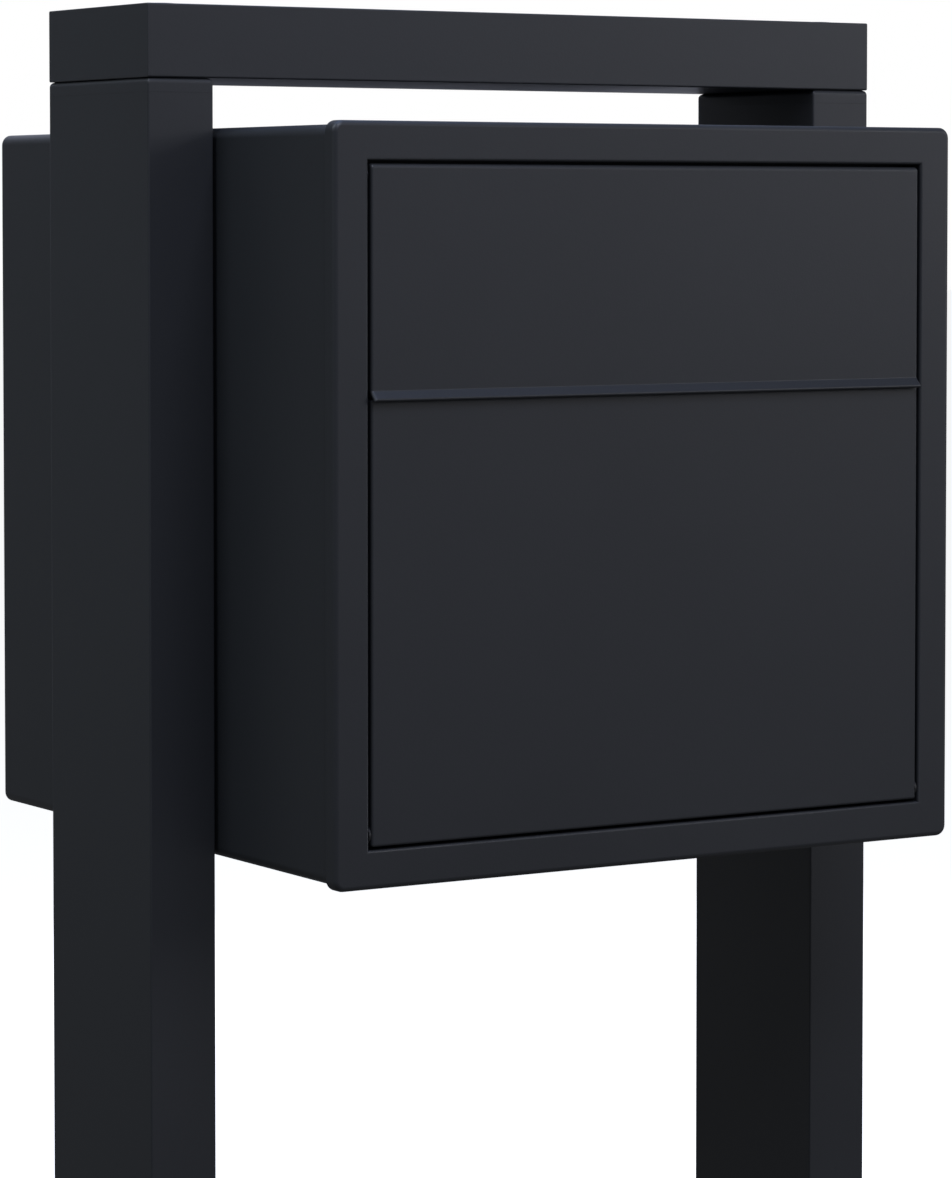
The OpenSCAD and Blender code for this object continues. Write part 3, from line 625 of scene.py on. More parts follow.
class LETTERBOX_OT_finishes(LetterboxOperator, bpy.types.Operator):
    """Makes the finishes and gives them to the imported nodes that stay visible"""

    bl_idname = "letterbox.finishes"
    bl_label = "Finishes"

    def execute(self, context):
        colours = context.scene.letterbox_colours
        # Every grain is drawn as coarse as it needs to show, coarser than the real surface's.
        # Powder coat on steel: an even, soft sheen without reflections.
        finish("powder coat", colours.coat, 0.0, 0.46, 1.1, 0.035, 0.05)
        # Zinc-plated steel: a pale, slightly milky metal with dull patches.
        finish("zinc plate", colours.zinc, 1.0, 0.38, 0.7, 0.02, 0.08, 40.0)
        # Steel pins, phosphated and oiled: nearly black, with the weak glints of bare metal.
        finish("blackened steel", colours.blackened, 1.0, 0.42, 0.6, 0.012, 0.12, 25.0)
        # Moulded polyamide: black and finely matt, with a broad highlight.
        finish("polyamide", colours.polyamide, 0.0, 0.5, 0.6, 0.03, 0.08, 60.0)
        # Moulded rubber: the darkest piece, dusty and without a highlight.
        finish("rubber", colours.rubber, 0.0, 0.75, 0.5, 0.03, 0.1, 30.0)
        # Nickel plate: a warm, silky metal, brighter and smoother than the zinc.
        finish("nickel plate", colours.nickel, 1.0, 0.26, 0.5, 0.006, 0.04, 30.0)
        by_slot = {"coat": "powder coat", "box_coat": "powder coat", "zinc_steel": "zinc plate",
                   "black_plastic": "polyamide", "rubber": "rubber",
                   "nickel_brass": "nickel plate", "black_steel": "blackened steel"}
        for part in frame["record"]["subparts"]:
            node = frame["nodes"][part["node"]]
            node.data.materials.clear()
            node.data.materials.append(made_of(by_slot[part["material_slot"]]))
        return {"FINISHED"}


class LETTERBOX_OT_posts(LetterboxOperator, bpy.types.Operator):
    """Two flat tubes that carry the box"""

    bl_idname = "letterbox.posts"
    bl_label = "Posts"

    def execute(self, context):
        size = self.sizes(context)
        for side in ("left", "right"):
            low, high = corners(f"{side}_post")
            edge = size.tube_edge
            us = stops([low[0] + edge, high[0] - edge])
            vs = stops([low[1] + edge, high[1] - edge])
            skin = Skin()
            skin.rings(us, vs, edge, [(0, low[2]), (0, high[2]), (size.tube_wall, high[2]),
                                      (size.tube_wall, low[2])], closed=True)
            skin.piece(f"{side}_post_tube", made_of("powder coat"), "coat", "stand_and_box",
                       f"{side}_post")
        return {"FINISHED"}


class LETTERBOX_OT_caps(LetterboxOperator, bpy.types.Operator):
    """Threaded plates that close the posts under the crossbeam"""

    bl_idname = "letterbox.caps"
    bl_label = "Post caps"

    def execute(self, context):
        size = self.sizes(context)
        edge = size.tube_edge
        for side in ("left", "right"):
            plate(f"{side}_cap_plate", f"{side}_post_cap", "xyz", edge,
                  (edge / 10, size.cap_edge), "coat", "stand_and_box")
        return {"FINISHED"}


class LETTERBOX_OT_feet(LetterboxOperator, bpy.types.Operator):
    """Foot plates with anchor holes and a fillet weld round each post"""

    bl_idname = "letterbox.feet"
    bl_label = "Feet"

    def execute(self, context):
        size = self.sizes(context)
        reach = size.anchor_radius / 2
        half = size.anchor_radius + reach
        for side in ("left", "right"):
            low, high = corners(f"{side}_foot_plate")
            corner = size.foot_corner
            middles = [(low[i] + size.anchor_edge, high[i] - size.anchor_edge) for i in (0, 1)]
            us, vs = [stops([low[i] + corner, middles[i][0] - half, middles[i][0] + half,
                             middles[i][1] - half, middles[i][1] + half, high[i] - corner])
                      for i in (0, 1)]
            holes = [round_hole(u, v, size.anchor_radius, reach)
                     for u in middles[0] for v in middles[1]]
            skin = Skin()
            slab(skin, us, vs, corner, low[2], high[2], corner / 20, corner / 10, holes)
            self.weld(skin, size, f"{side}_post", high[2])
            skin.piece(f"{side}_foot", made_of("powder coat"), "coat", "stand_and_box",
                       f"{side}_foot_plate")
        return {"FINISHED"}

    @staticmethod
    def weld(skin, size, post, ground):
        """Bead round a post: leg * (cos a, sin a) out from the tube, its leg rippled along s."""
        low, high = corners(post)
        edge, ripple = size.tube_edge, WELD_RIPPLE
        us = np.arange(low[0] + edge, high[0] - edge, ripple / 4)
        vs = np.arange(low[1] + edge, high[1] - edge, ripple / 4)
        wall = outline(us, vs, edge, 0.0)
        out = outline(us, vs, edge, -1.0) - wall
        out /= np.linalg.norm(out, axis=1, keepdims=True)
        s = np.cumsum(np.linalg.norm(np.diff(wall, axis=0, prepend=wall[-1:]), axis=1))
        waves = round(s[-1] / ripple)
        leg = size.weld_leg * (0.92 + 0.08 * np.abs(np.sin(math.pi * waves * s / s[-1])))
        a = np.linspace(0, math.pi / 2, QUARTER + 1)[:, None, None]
        flat = wall + out * leg[:, None] * np.cos(a) ** 1.4
        tall = ground + leg[:, None] * np.sin(a) ** 1.4
        bead = np.concatenate([flat, tall], axis=-1)
        root = np.insert(wall, 2, ground, axis=1)[None]
        skin.grid(np.concatenate([bead, root]), around=True, along=True)


class LETTERBOX_OT_crossbeam(LetterboxOperator, bpy.types.Operator):
    """Crossbeam tube with its access holes, and the plates that close its ends"""

    bl_idname = "letterbox.crossbeam"
    bl_label = "Crossbeam"

    def execute(self, context):
        size = self.sizes(context)
        low, high = corners("crossbeam")
        edge = size.tube_edge
        radius = size.access_radius
        reach = radius / 4
        half = radius + reach
        xs, ys = centres("beam_plugs", size.plug_radius)[:2]
        us = stops([low[1] + edge, ys[0] - half, ys[0] + half, ys[1] - half, ys[1] + half,
                    high[1] - edge], 6)
        vs = stops([low[2] + edge, high[2] - edge])
        ws = stops([low[0], xs[0] - half, xs[0] + half, xs[1] - half, xs[1] + half, high[0]], 6)
        skin = Skin("yzx")
        s, outer = wrapped(us, vs, edge, 0.0)
        inner = wrapped(us, vs, edge, size.tube_wall)[1]
        middle = [s[np.argmin(np.hypot(outer(s, s)[:, 0] - y, outer(s, s)[:, 1] - high[2]))]
                  for y in ys]
        holes = [round_hole(a, x, radius, reach) for a in middle for x in xs]
        skin.sheet(s, ws, outer, holes)
        skin.sheet(s, ws, inner, holes)
        skin.hole_walls(s, ws, outer, inner, holes)
        for end in (ws[0], ws[-1]):
            rim = [shape(s, np.full_like(s, end)) for shape in (outer, inner)]
            skin.grid(np.stack(rim))
        skin.piece("crossbeam_tube", made_of("powder coat"), "coat", "stand_and_box", "crossbeam")
        soft = (edge / 2, edge / 20)
        for side, edges in (("left", soft), ("right", soft[::-1])):
            plate(f"{side}_end_plate", f"{side}_beam_end", "yzx", edge, edges, "coat",
                  "stand_and_box")
        return {"FINISHED"}


class LETTERBOX_OT_shell(LetterboxOperator, bpy.types.Operator):
    """Folded box shell with drain holes, and the tray that closes its back"""

    bl_idname = "letterbox.shell"
    bl_label = "Shell and back"

    def execute(self, context):
        size = self.sizes(context)
        low, high = corners("box_shell")
        bend, reach = size.body_bend, 2 * size.drain_radius
        half = size.drain_radius + reach
        xs = (low[0] + DRAIN_INSET, high[0] - DRAIN_INSET)
        ys = (low[1] - size.frame_sheet + size.strip + DRAIN_INSET, high[1] - DRAIN_INSET)
        us = stops([low[0] + bend, xs[0] - half, xs[0] + half, xs[1] - half, xs[1] + half,
                    high[0] - bend], 6)
        vs = stops([low[2] + bend, high[2] - bend])
        ws = stops([low[1], ys[0] - half, ys[0] + half, ys[1] - half, ys[1] + half, high[1]], 6)
        skin = Skin("xzy")
        s, outer = wrapped(us, vs, bend, 0.0)
        inner = wrapped(us, vs, bend, size.sheet)[1]
        places = outer(s, s)
        middle = [s[np.argmin(np.hypot(places[:, 0] - x, places[:, 1] - low[2]))] for x in xs]
        holes = [round_hole(a, y, size.drain_radius, reach) for a in middle for y in ys]
        skin.sheet(s, ws, outer, holes)
        skin.sheet(s, ws, inner, holes)
        skin.hole_walls(s, ws, outer, inner, holes)
        for end in (ws[0], ws[-1]):
            skin.grid(np.stack([shape(s, np.full_like(s, end)) for shape in (outer, inner)]))
        skin.piece("box_skin", made_of("powder coat"), "box_coat", "stand_and_box", "box_shell")

        low, high = corners("box_back")
        corner = bend - size.sheet
        us = stops([low[0] + corner, high[0] - corner])
        vs = stops([low[2] + corner, high[2] - corner])
        skin = Skin("xzy")
        tray(skin, us, vs, corner, high[1], low[1], size.sheet, 2 * size.sheet)
        skin.piece("back_tray", made_of("powder coat"), "box_coat", "stand_and_box", "box_back")
        return {"FINISHED"}


class LETTERBOX_OT_front(LetterboxOperator, bpy.types.Operator):
    """Front frame, its mitred corners welded and ground flush, and the door stops behind it"""

    bl_idname = "letterbox.front"
    bl_label = "Front frame"

    def execute(self, context):
        size = self.sizes(context)
        rails = ("bottom_frame_rail", "left_frame_rail", "top_frame_rail", "right_frame_rail")
        boxes = np.array([corners(rail) for rail in rails])
        low, high = boxes[:, 0].min(axis=0), boxes[:, 1].max(axis=0)
        front, back = low[1], high[1]
        corner, sheet = size.frame_corner, size.frame_sheet
        us = stops([low[0] + corner, high[0] - corner])
        vs = stops([low[2] + corner, high[2] - corner])
        soft = sheet / 2
        depth = back - front
        outer, inner = size.frame_edge, size.opening_edge
        bend_out, bend_in = (outer, outer), (size.face - inner, inner)
        fold = max(inner - sheet, sheet / 8)
        profile = np.concatenate([
            arc(bend_out, outer, 180, 270),
            arc(bend_in, inner, 270, 360),
            arc((size.face - soft, depth - soft), soft, 0, 180),
            arc((size.face - sheet - fold, sheet + fold), fold, 0, -90),
            arc(bend_out, outer - sheet, 270, 180),
            arc((soft, size.strip - soft), soft, 0, 180)])
        profile[:, 1] += front
        skin = Skin("xzy")
        skin.rings(us, vs, corner, profile, closed=True)
        skin.piece("front_frame", made_of("powder coat"), "box_coat", "stand_and_box", *rails)
        for stop in ("left_door_stop", "top_door_stop", "right_door_stop"):
            low, high = corners(stop)
            soft = (high[1] - low[1]) / 4
            plate(f"{stop}_strip", stop, "xzy", soft, (soft, soft), "box_coat", "stand_and_box",
                  steps=1)
        return {"FINISHED"}


class LETTERBOX_OT_door(LetterboxOperator, bpy.types.Operator):
    """Door: a folded lower tray, the recess behind the flap with its slot, and two cheeks"""

    bl_idname = "letterbox.door"
    bl_label = "Door"

    def execute(self, context):
        size = self.sizes(context)
        low, high = corners("door_pan")
        edge = size.door_edge
        shelf = corners("flap")[0][2] + size.frame_sheet / math.sqrt(2)
        wall = corners("slot_baffle")[0][1] - size.sheet
        skin = Skin("xzy")
        tray(skin, stops([low[0] + edge, high[0] - edge]), stops([low[2] + edge, shelf - edge]),
             edge, low[1], high[1], size.sheet, edge)
        self.recess(skin, size, wall, shelf, high)
        skin.order = Skin("yzx").order
        for side in ("left", "right"):
            self.cheek(skin, size, side, wall, shelf, high)
        skin.piece("door_panel", made_of("powder coat"), "box_coat", "door", "door_pan")
        return {"FINISHED"}

    @staticmethod
    def recess(skin, size, wall, shelf, high):
        """Wall behind the flap with the mail slot, and the flange along its top."""
        sheet, soft = size.sheet, size.sheet / 5
        bush = corners("right_flap_bush")[1]
        lock_low, lock_high = corners("lock_housing")
        half_u, half_v = size.slot_width / 2, size.slot_height / 2
        middle = (lock_low[2] + lock_high[2]) / 2
        reach = 2 * size.slot_corner
        side = bush[0] - soft
        us = stops([-side, -half_u - reach, half_u + reach, side], 8)
        vs = stops([shelf - sheet + soft, middle - half_v - reach, middle + half_v + reach,
                    high[2] - soft], 8)
        hole = (0.0, middle, half_u, half_v, size.slot_corner, reach)
        slab(skin, us, vs, soft, wall, wall + sheet, soft, soft, [hole])
        slab(skin, stops([-side, side]), stops([high[2] - sheet + soft, high[2] - soft], 1), soft,
             wall + sheet, high[1], soft / 10, soft)

    @staticmethod
    def cheek(skin, size, side, wall, shelf, high):
        """Side wall of the recess: a plate whose outline ends in an eye for the flap's pin."""
        low_bush, high_bush = corners(f"{side}_flap_bush")
        eye_r = (high_bush[2] - low_bush[2]) / 2 + EYE_WALL
        eye = (low_bush[1:] + high_bush[1:]) / 2
        neck = EYE_NECK
        shoulder = eye[1] - EYE_SHOULDER
        soft = size.sheet
        base = softened([(eye[0] - eye_r, shelf - size.sheet), (high[1], shelf - size.sheet),
                         (high[1], high[2]), (wall, high[2]), (wall, shoulder),
                         (eye[0] + neck, shoulder), (eye[0] + neck, eye[1])],
                        [0, soft, soft, soft / 4, soft, soft, 0], closed=False)
        start = -math.degrees(math.acos(neck / eye_r))
        outline_points = np.concatenate([base[:-1], arc(eye, eye_r, start, 180)])
        outer = low_bush[0] if side == "left" else high_bush[0]
        inner = outer - math.copysign(size.sheet, outer)
        skin.carry(outline_points, [outer, inner])


class LETTERBOX_OT_baffle(LetterboxOperator, bpy.types.Operator):
    """Bent plate behind the slot that keeps hands out"""

    bl_idname = "letterbox.baffle"
    bl_label = "Slot baffle"

    def execute(self, context):
        low, high = corners("slot_baffle")
        thick = self.sizes(context).baffle
        slope, bend = BAFFLE_SLOPE, 2 * thick
        run = (high[1] - low[1] - thick * math.sin(slope)) / math.cos(slope)
        tangent = bend * math.tan((math.pi / 2 - slope) / 2)
        moves = [(BAFFLE_FLANGE - thick - tangent, 0), (bend, math.degrees(math.pi / 2 - slope)),
                 (run - thick - tangent, 0)]
        right, left = thickened((low[1], high[2] - thick / 2), -90, moves, thick)
        profile = np.concatenate([right, left[-2:0:-1]])
        skin = Skin("yzx")
        skin.carry(profile, stops([low[0], high[0]]))
        skin.piece("baffle_plate", made_of("powder coat"), "box_coat", "door", "slot_baffle")
        return {"FINISHED"}


class LETTERBOX_OT_flap(LetterboxOperator, bpy.types.Operator):
    """Mail flap: one sheet with a rolled top edge, a finger lip and two side flanges"""

    bl_idname = "letterbox.flap"
    bl_label = "Flap"

    def execute(self, context):
        size = self.sizes(context)
        low, high = corners("flap")
        thick, roll, lip = size.frame_sheet, size.roll, size.lip
        front = low[1] + lip
        axis = (front + roll, high[2] - roll)
        fold = low[2] + thick / math.sqrt(2) + lip
        bend = thick / 2
        tangent = bend * math.tan(math.radians(22.5))
        tail = math.radians(30)
        start = (axis[0] + roll * math.cos(tail), axis[1] + roll * math.sin(tail))
        brow = size.brow
        moves = [(roll, 60), (roll - brow, 0), (brow, 90),
                 (axis[1] + roll - brow - fold - tangent, 0), (bend, -45),
                 (lip * math.sqrt(2) - tangent - thick / 2, 0)]
        outer, inner = thickened(start, 120, moves, thick)
        skin = Skin("yzx")
        self.sheet_between(skin, outer, inner, (low[0], high[0]), size.door_edge, thick)
        lower = axis[0] + roll - thick
        plate = np.concatenate([
            softened([(front + thick, axis[1]), (front + thick, fold), (lower, fold),
                      (lower, axis[1])], [0, thick / 4, thick, 0], closed=False),
            softened([(lower, axis[1]), (lower, high[2] - thick), (front + thick, high[2] - thick),
                      (front + thick, axis[1])],
                     [0, roll - thick, max(brow - thick, thick / 4), 0], closed=False,
                     steps=QUARTER)[1:-1]])
        for near, far in ((low[0], low[0] + thick), (high[0] - thick, high[0])):
            skin.carry(plate, [near, far])
        skin.piece("mail_flap", made_of("powder coat"), "box_coat", "flap", "flap")
        return {"FINISHED"}

    @staticmethod
    def sheet_between(skin, outer, inner, ends, radius, thick):
        """The sheet between two faces, its side edges round.

        At a distance s from a side, the outer face is sunk towards the inner one by
        radius - sqrt(radius^2 - (radius - s)^2), and at the side itself it drops all the way.
        """
        a = np.linspace(0, math.pi / 2, QUARTER + 1)
        near = np.insert(radius * (1 - np.cos(a)), 0, 0.0)
        drop = np.insert(radius / thick * (1 - np.sin(a)), 0, 1.0)
        middle = stops([ends[0] + radius, ends[1] - radius], 4 * FACE_STEPS)[1:-1]
        places = np.concatenate([ends[0] + near, middle, ends[1] - near[::-1]])
        sunk = np.concatenate([drop, np.zeros(len(middle)), drop[::-1]])
        face = outer + (inner - outer) * sunk[:, None, None]
        back = np.broadcast_to(inner, face.shape)
        w = np.broadcast_to(places[:, None, None], face.shape[:2] + (1,))
        skin.grid(np.concatenate([face, w], axis=-1))
        skin.grid(np.concatenate([back, w], axis=-1))


class LETTERBOX_OT_plugs(LetterboxOperator, bpy.types.Operator):
    """Domed plugs over the crossbeam's access holes"""

    bl_idname = "letterbox.plugs"
    bl_label = "Access plugs"

    def execute(self, context):
        size = self.sizes(context)
        low, high = corners("beam_plugs")
        head, skirt = size.plug_radius, size.access_radius
        top = corners("crossbeam")[1][2]
        wall = skirt / 8
        share = np.linspace(0, 1, QUARTER + 1)
        dome = np.stack([head * share, high[2] - 0.5 * (high[2] - top) * share ** 3], axis=-1)
        lower = softened([(head, dome[-1, 1]), (head, top), (skirt, top), (skirt, low[2]),
                          (skirt - wall, low[2]), (skirt - wall, top), (0, top)],
                         [0, wall / 4, 0.1 * wall, wall / 3, wall / 3, wall / 2, 0], closed=False)
        xs, ys = centres("beam_plugs", head)[:2]
        skin = Skin()
        for x in xs:
            for y in ys:
                skin.turn(np.concatenate([dome, lower[1:]]), (x, y))
        skin.piece("access_plugs", made_of("polyamide"), "black_plastic", "stand_and_box",
                   "beam_plugs")
        return {"FINISHED"}


class LETTERBOX_OT_bumpers(LetterboxOperator, bpy.types.Operator):
    """Rubber bumpers behind the flap and on the door stops"""

    bl_idname = "letterbox.bumpers"
    bl_label = "Bumpers"

    def execute(self, context):
        size = self.sizes(context)
        rows = centres("flap_bumpers", size.flap_bumper)
        self.bumpers("flap_buffers", "door", "flap_bumpers", size.flap_bumper, rows[0], rows[2][:1])
        rows = centres("door_bumpers", size.door_bumper)
        self.bumpers("door_buffers", "stand_and_box", "door_bumpers", size.door_bumper, rows[0],
                     rows[2])
        return {"FINISHED"}

    @staticmethod
    def bumpers(name, body, node, radius, xs, zs):
        """Round pads whose front edge is well rounded."""
        low, high = corners(node)
        edge = min(0.3 * radius, 0.75 * (high[1] - low[1]))
        profile = softened([(0, low[1]), (radius, low[1]), (radius, high[1]), (0, high[1])],
                           [0, edge, edge / 10, 0], closed=False, steps=QUARTER)
        skin = Skin("xzy")
        for x in xs:
            for z in zs:
                skin.turn(profile, (x, z))
        skin.piece(name, made_of("rubber"), "rubber", body, node)


class LETTERBOX_OT_rivets(LetterboxOperator, bpy.types.Operator):
    """Blind rivets that hold the baffle"""

    bl_idname = "letterbox.rivets"
    bl_label = "Rivets"

    def execute(self, context):
        size = self.sizes(context)
        low, high = corners("baffle_rivets")
        back = corners("slot_baffle")[0][1]
        front, grip = back - size.sheet, back + size.baffle
        head = (high[2] - low[2]) / 2
        shank, tail, soft = head / 2, 0.78 * head, head / 12
        a = np.linspace(0, math.pi / 2, QUARTER + 1)
        dome = np.stack([head * np.sin(a), front - (front - low[1]) * np.cos(a)], axis=-1)
        rest = softened([(head, front), (shank, front), (shank, grip), (tail, grip),
                         (tail, high[1]), (0, high[1])],
                        [0, soft / 4, soft / 4, soft, 3 * soft, 0], closed=False)
        skin = Skin("xzy")
        for x in np.linspace(low[0] + head, high[0] - head, 4):
            skin.turn(np.concatenate([dome, rest[1:]]), (x, (low[2] + high[2]) / 2))
        skin.piece("blind_rivets", made_of("zinc plate"), "zinc_steel", "door", "baffle_rivets")
        return {"FINISHED"}


class LETTERBOX_OT_lock(LetterboxOperator, bpy.types.Operator):
    """Cam lock: threaded housing with its collar, and the plug with its key slot"""

    bl_idname = "letterbox.lock"
    bl_label = "Lock"

    def execute(self, context):
        size = self.sizes(context)
        low, high = corners("lock_housing")
        middle = ((low[0] + high[0]) / 2, (low[2] + high[2]) / 2)
        wall = corners("slot_baffle")[0][1] - size.sheet
        collar, barrel = (high[0] - low[0]) / 2, size.barrel
        bore = size.lock_plug + RUNNING_GAP
        soft = LOCK_EDGE
        head = softened([(bore, low[1]), (collar, low[1]), (collar, wall), (barrel, wall)],
                        [0, 2 * soft, soft / 2, 0], closed=False)
        turns = np.arange(wall + size.sheet + size.pitch, high[1] - size.pitch, size.pitch / 2)
        crest = barrel - size.pitch / 2 * (np.arange(len(turns)) % 2)
        thread = np.stack([crest, turns], axis=-1)
        end = softened([(barrel, high[1] - size.pitch / 2), (barrel, high[1]), (bore, high[1])],
                       [0, soft / 2, 0], closed=False)
        skin = Skin("xzy")
        skin.turn(np.concatenate([head, thread, end]), middle, ring=True)
        skin.piece("lock_body", made_of("nickel plate"), "nickel_brass", "door", "lock_housing")

        low, high = corners("lock_plug")
        middle, plug = np.array(middle), size.lock_plug
        (half_w, half_h), edge = KEY_SLOT, KEY_EDGE
        square, stub = DRIVE
        us = stops([middle[0] - half_w + edge, middle[0] + half_w - edge])
        vs = stops([middle[1] - half_h + edge, middle[1] + half_h - edge], 8)
        slot = outline(us, vs, edge, 0.0)
        lead = outline(us, vs, edge, -KEY_LEAD)
        away = slot - middle
        away /= np.linalg.norm(away, axis=1, keepdims=True)
        rings = [(plug, high[1] - stub), (plug, low[1] + soft), (plug - soft / 2, low[1])]
        around = [np.insert(middle + radius * away, 2, w, axis=1) for radius, w in rings]
        inward = [np.insert(lead, 2, low[1], axis=1),
                  np.insert(slot, 2, low[1] + KEY_LEAD, axis=1),
                  np.insert(slot, 2, low[1] + KEY_DEPTH, axis=1)]
        skin = Skin("xzy")
        skin.lid(around[0])
        skin.loops(around + inward)
        slab(skin, stops([middle[0] - square + edge, middle[0] + square - edge]),
             stops([middle[1] - square + edge, middle[1] + square - edge]), edge,
             high[1] - stub, high[1], edge / 2, edge)
        skin.piece("key_plug", made_of("nickel plate"), "nickel_brass", "lock_core", "lock_plug")
        return {"FINISHED"}


class LETTERBOX_OT_cam(LetterboxOperator, bpy.types.Operator):
    """Stamped cam of the lock and the screw that holds it"""

    bl_idname = "letterbox.cam"
    bl_label = "Cam"

    def execute(self, context):
        low, high = corners("lock_cam")
        head_low, head_high = corners("cam_screw")
        middle = (head_low[[0, 2]] + head_high[[0, 2]]) / 2
        boss, half = high[2] - middle[1], CAM_END
        join = math.degrees(math.acos(half / boss))
        shape = np.concatenate([
            arc(middle, boss, -join, 180 + join, 4 * QUARTER),
            arc((middle[0], low[2] + half), half, 180, 360, 2 * QUARTER)])
        skin = Skin("xzy")
        soft = (high[1] - low[1]) / 6
        shrunk = middle + (shape - middle) * (1 - soft / boss)
        layers = [(shrunk, low[1]), (shape, low[1] + soft), (shape, high[1] - soft),
                  (shrunk, high[1])]
        loops = [np.insert(points, 2, w, axis=1) for points, w in layers]
        skin.lid(loops[0])
        skin.loops(loops)
        skin.piece("cam_plate", made_of("zinc plate"), "zinc_steel", "lock_core", "lock_cam")
        skin = Skin("xzy")
        reach = (head_high[0] - head_low[0]) / 2
        head, shank, socket = CAM_SCREW
        screw(skin, middle, head_high[1], -head, head_low[1], reach, shank, socket)
        skin.piece("cam_bolt", made_of("zinc plate"), "zinc_steel", "lock_core", "cam_screw")
        return {"FINISHED"}


class LETTERBOX_OT_box_screws(LetterboxOperator, bpy.types.Operator):
    """Socket screws that hold the box to its posts, and the plates under their heads"""

    bl_idname = "letterbox.box_screws"
    bl_label = "Box screws"

    def execute(self, context):
        size = self.sizes(context)
        radius = size.head_radius
        for side, way in (("left", -1), ("right", 1)):
            node = f"{side}_box_screws"
            low, high = corners(node)
            ends = (low[0], high[0])[::way]
            head, shank = BOX_SCREW
            skin = Skin("yzx")
            for y in centres(node, radius)[1]:
                for z in centres(node, radius)[2]:
                    screw(skin, np.array([y, z]), ends[0], way * head, ends[1], radius, shank,
                          size.socket)
            skin.piece(f"{side}_screws", made_of("zinc plate"), "zinc_steel", "stand_and_box", node)
            corner, soft = STIFFENER
            plate(f"{side}_stiffener", f"{side}_backing_plate", "yzx", corner, (soft, soft),
                  "zinc_steel", "stand_and_box", look="zinc plate")
        return {"FINISHED"}


class LETTERBOX_OT_pins(LetterboxOperator, bpy.types.Operator):
    """Pins of the door and of the flap"""

    bl_idname = "letterbox.pins"
    bl_label = "Pins and bushes"

    def execute(self, context):
        for side, way in (("left", -1), ("right", 1)):
            for joint, (body, shank, head) in PINS.items():
                self.pin(f"{side}_{joint}", body, way, shank, head)
        return {"FINISHED"}

    @staticmethod
    def pin(name, body, way, shank, head):
        """A pin with a domed head at its outer end and a chamfered tip."""
        low, high = corners(f"{name}_pin")
        reach = (high[1] - low[1]) / 2
        middle = (low[1:] + high[1:]) / 2
        tip, top = (low[0], high[0])[::way]
        under = top - way * head
        a = np.linspace(0, math.pi / 2, QUARTER + 1)
        dome = np.stack([reach * np.sin(a), under + way * head * np.cos(a)], axis=-1)
        rest = softened([(reach, under), (shank, under), (shank, tip), (0, tip)],
                        [0, shank / 10, shank / 3, 0], closed=False)
        skin = Skin("yzx")
        skin.turn(np.concatenate([dome, rest[1:]]), middle)
        skin.piece(f"{name}_stud", made_of("blackened steel"), "black_steel", body, f"{name}_pin")


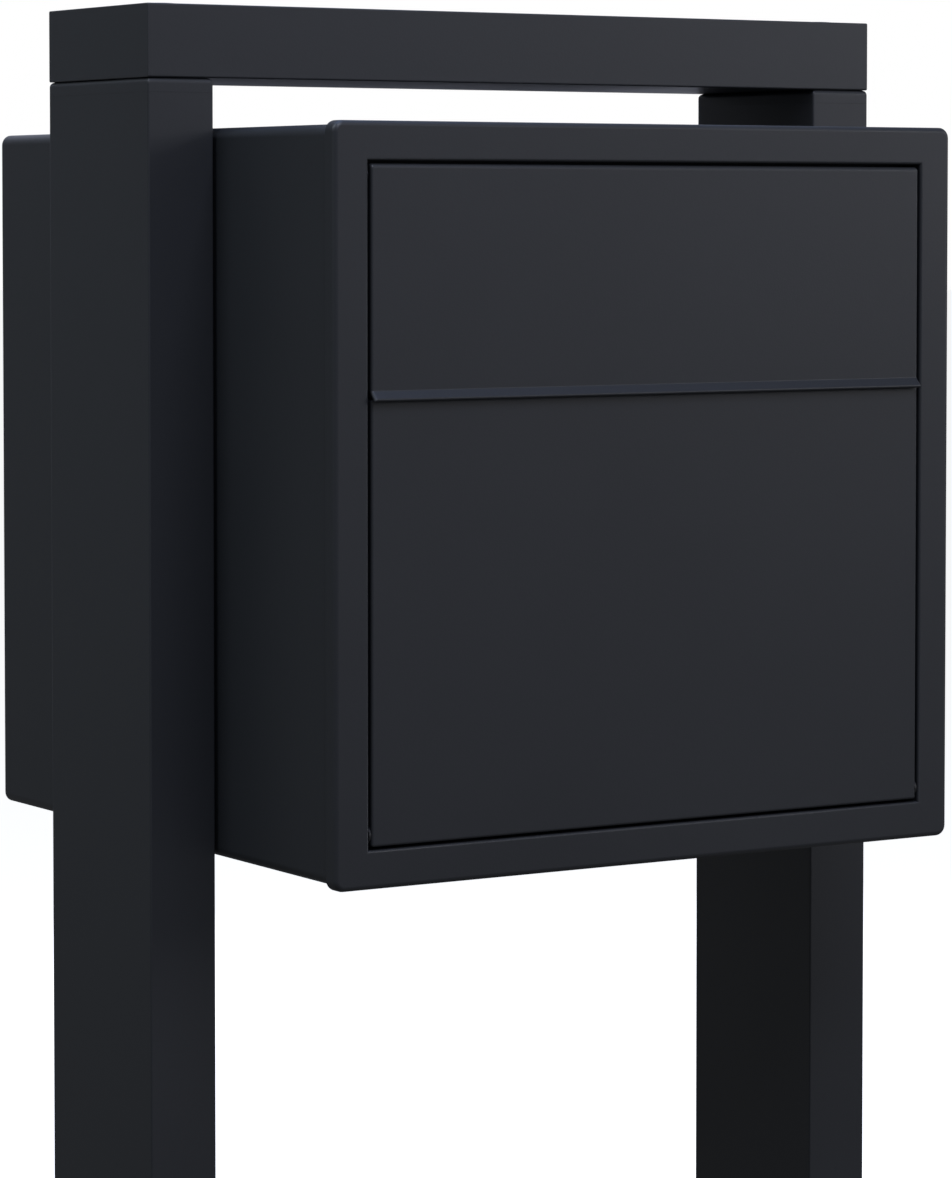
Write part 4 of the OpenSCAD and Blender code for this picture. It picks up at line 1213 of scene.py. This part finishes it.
class LETTERBOX_OT_stage(LetterboxOperator, bpy.types.Operator):
    """Pale floor, soft lamps, an even surround and the camera"""

    bl_idname = "letterbox.stage"
    bl_label = "Studio"

    def execute(self, context):
        studio = context.scene.letterbox_studio
        self.floor(context)
        self.surround(context, studio.sky)
        for name, watts, place, target, across, tint in LAMPS:
            self.lamp(name, place, target, across, getattr(studio, watts), tint)
        self.camera(context, studio)
        return {"FINISHED"}

    @staticmethod
    def floor(context):
        """A wide disc: rings of points at radius * (cos a, sin a)."""
        skin = Skin()
        skin.turn([(radius, 0.0) for radius in FLOOR_RINGS], (0.0, 0.0))
        mesh = bpy.data.meshes.new("studio_floor")
        mesh.from_pydata(np.concatenate(skin.points).tolist(), [], skin.faces)
        made = bpy.data.objects.new("studio_floor", mesh)
        context.scene.collection.objects.link(made)
        # Matt vinyl with a glow of its own: evenly white far off, and a painted shade round the
        # feet, where the glow is lowered so that the lamps' soft shadow there also shows.
        vinyl = finish("studio vinyl", context.scene.letterbox_colours.floor, 0.0, 0.8, 3.0, 0.01,
                       0.01, 900.0)
        tree = vinyl.node_tree
        near, start, end = GLOW_PAINTED_SHADE
        place = tree.nodes["Texture Coordinate"].outputs["Object"]
        away = add(tree, "ShaderNodeVectorMath", {0: place}, operation="LENGTH")
        # painted shade: the glow is lowest beside the feet and grows to its full strength further
        # off
        glow = add(tree, "ShaderNodeMapRange",
                   {"Value": away.outputs["Value"], "From Min": start, "From Max": end,
                    "To Min": near, "To Max": context.scene.letterbox_studio.glow},
                   interpolation_type="SMOOTHSTEP")
        shader = tree.nodes["Principled BSDF"]
        shader.inputs["Emission Color"].default_value = (1.0, 1.0, 1.0, 1.0)
        tree.links.new(glow.outputs["Result"], shader.inputs["Emission Strength"])
        mesh.materials.append(vinyl)
        made.visible_diffuse = False
        made.visible_glossy = False

    @staticmethod
    def surround(context, strength):
        """White seen directly, and an even soft light otherwise."""
        world = bpy.data.worlds.new("studio surround")
        world.use_nodes = True
        tree = world.node_tree
        tree.nodes.clear()
        seen = add(tree, "ShaderNodeLightPath").outputs["Is Camera Ray"]
        light = add(tree, "ShaderNodeBackground", {"Color": linear(SURROUND),
                                                   "Strength": strength})
        plain = add(tree, "ShaderNodeBackground", {"Color": (1.0, 1.0, 1.0, 1.0),
                                                   "Strength": 1.0})
        both = add(tree, "ShaderNodeMixShader", {0: seen, 1: light.outputs[0],
                                                 2: plain.outputs[0]})
        add(tree, "ShaderNodeOutputWorld", {"Surface": both.outputs[0]})
        context.scene.world = world

    @staticmethod
    def lamp(name, place, target, across, watts, tint):
        """Square area lamp aimed at a point."""
        light = bpy.data.lights.new(name, "AREA")
        light.size = across
        light.energy = watts
        light.color = linear(tint)[:3]
        made = bpy.data.objects.new(name, light)
        made.location = place
        away = np.array(place) - np.array(target)
        flat = math.hypot(away[0], away[1])
        made.rotation_euler = (math.atan2(flat, away[2]), 0.0, math.atan2(away[0], -away[1]))
        made.visible_camera = False
        bpy.context.scene.collection.objects.link(made)

    @staticmethod
    def camera(context, studio):
        """The camera, level but for its tilt, seeing the box from its front left."""
        lens = bpy.data.cameras.new("studio camera")
        lens.lens = studio.lens
        lens.sensor_width = SENSOR
        lens.shift_y = studio.drop
        made = bpy.data.objects.new("studio camera", lens)
        made.location = studio.eye
        made.rotation_euler = (math.pi / 2 - studio.tilt, 0.0, -studio.yaw)
        context.scene.collection.objects.link(made)
        context.scene.camera = made
        context.scene.view_settings.view_transform = "Standard"


class LETTERBOX_PT_panel(bpy.types.Panel):
    """Lists the letterbox's sizes, colours and steps"""

    bl_label = "Letterbox"
    bl_idname = "LETTERBOX_PT_panel"
    bl_space_type = "VIEW_3D"
    bl_region_type = "UI"
    bl_category = "Letterbox"

    def draw(self, context):
        column = self.layout.column()
        for step in STEPS:
            column.operator(step.bl_idname)
        scene = context.scene
        for group in (scene.letterbox_sizes, scene.letterbox_colours, scene.letterbox_studio):
            column.separator()
            for name in group.__annotations__:
                column.prop(group, name)


STEPS = (LETTERBOX_OT_finishes, LETTERBOX_OT_posts, LETTERBOX_OT_caps, LETTERBOX_OT_feet,
         LETTERBOX_OT_crossbeam, LETTERBOX_OT_shell, LETTERBOX_OT_front, LETTERBOX_OT_door,
         LETTERBOX_OT_baffle, LETTERBOX_OT_flap, LETTERBOX_OT_plugs, LETTERBOX_OT_bumpers,
         LETTERBOX_OT_rivets, LETTERBOX_OT_lock, LETTERBOX_OT_cam, LETTERBOX_OT_box_screws,
         LETTERBOX_OT_pins, LETTERBOX_OT_stage)
CLASSES = (LetterboxSizes, LetterboxColours, LetterboxStudio) + STEPS + (LETTERBOX_PT_panel,)


def register():
    """Registers every class and hangs the settings on the scene."""
    for kind in CLASSES:
        bpy.utils.register_class(kind)
    bpy.types.Scene.letterbox_sizes = PointerProperty(type=LetterboxSizes)
    bpy.types.Scene.letterbox_colours = PointerProperty(type=LetterboxColours)
    bpy.types.Scene.letterbox_studio = PointerProperty(type=LetterboxStudio)


def unregister():
    """Takes the settings and the classes away again."""
    del bpy.types.Scene.letterbox_studio
    del bpy.types.Scene.letterbox_colours
    del bpy.types.Scene.letterbox_sizes
    for kind in reversed(CLASSES):
        bpy.utils.unregister_class(kind)


def main():
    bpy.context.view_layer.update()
    register()
    for step in STEPS:
        group, name = step.bl_idname.split(".")
        getattr(getattr(bpy.ops, group), name)()


if __name__ == "__main__":
    main()
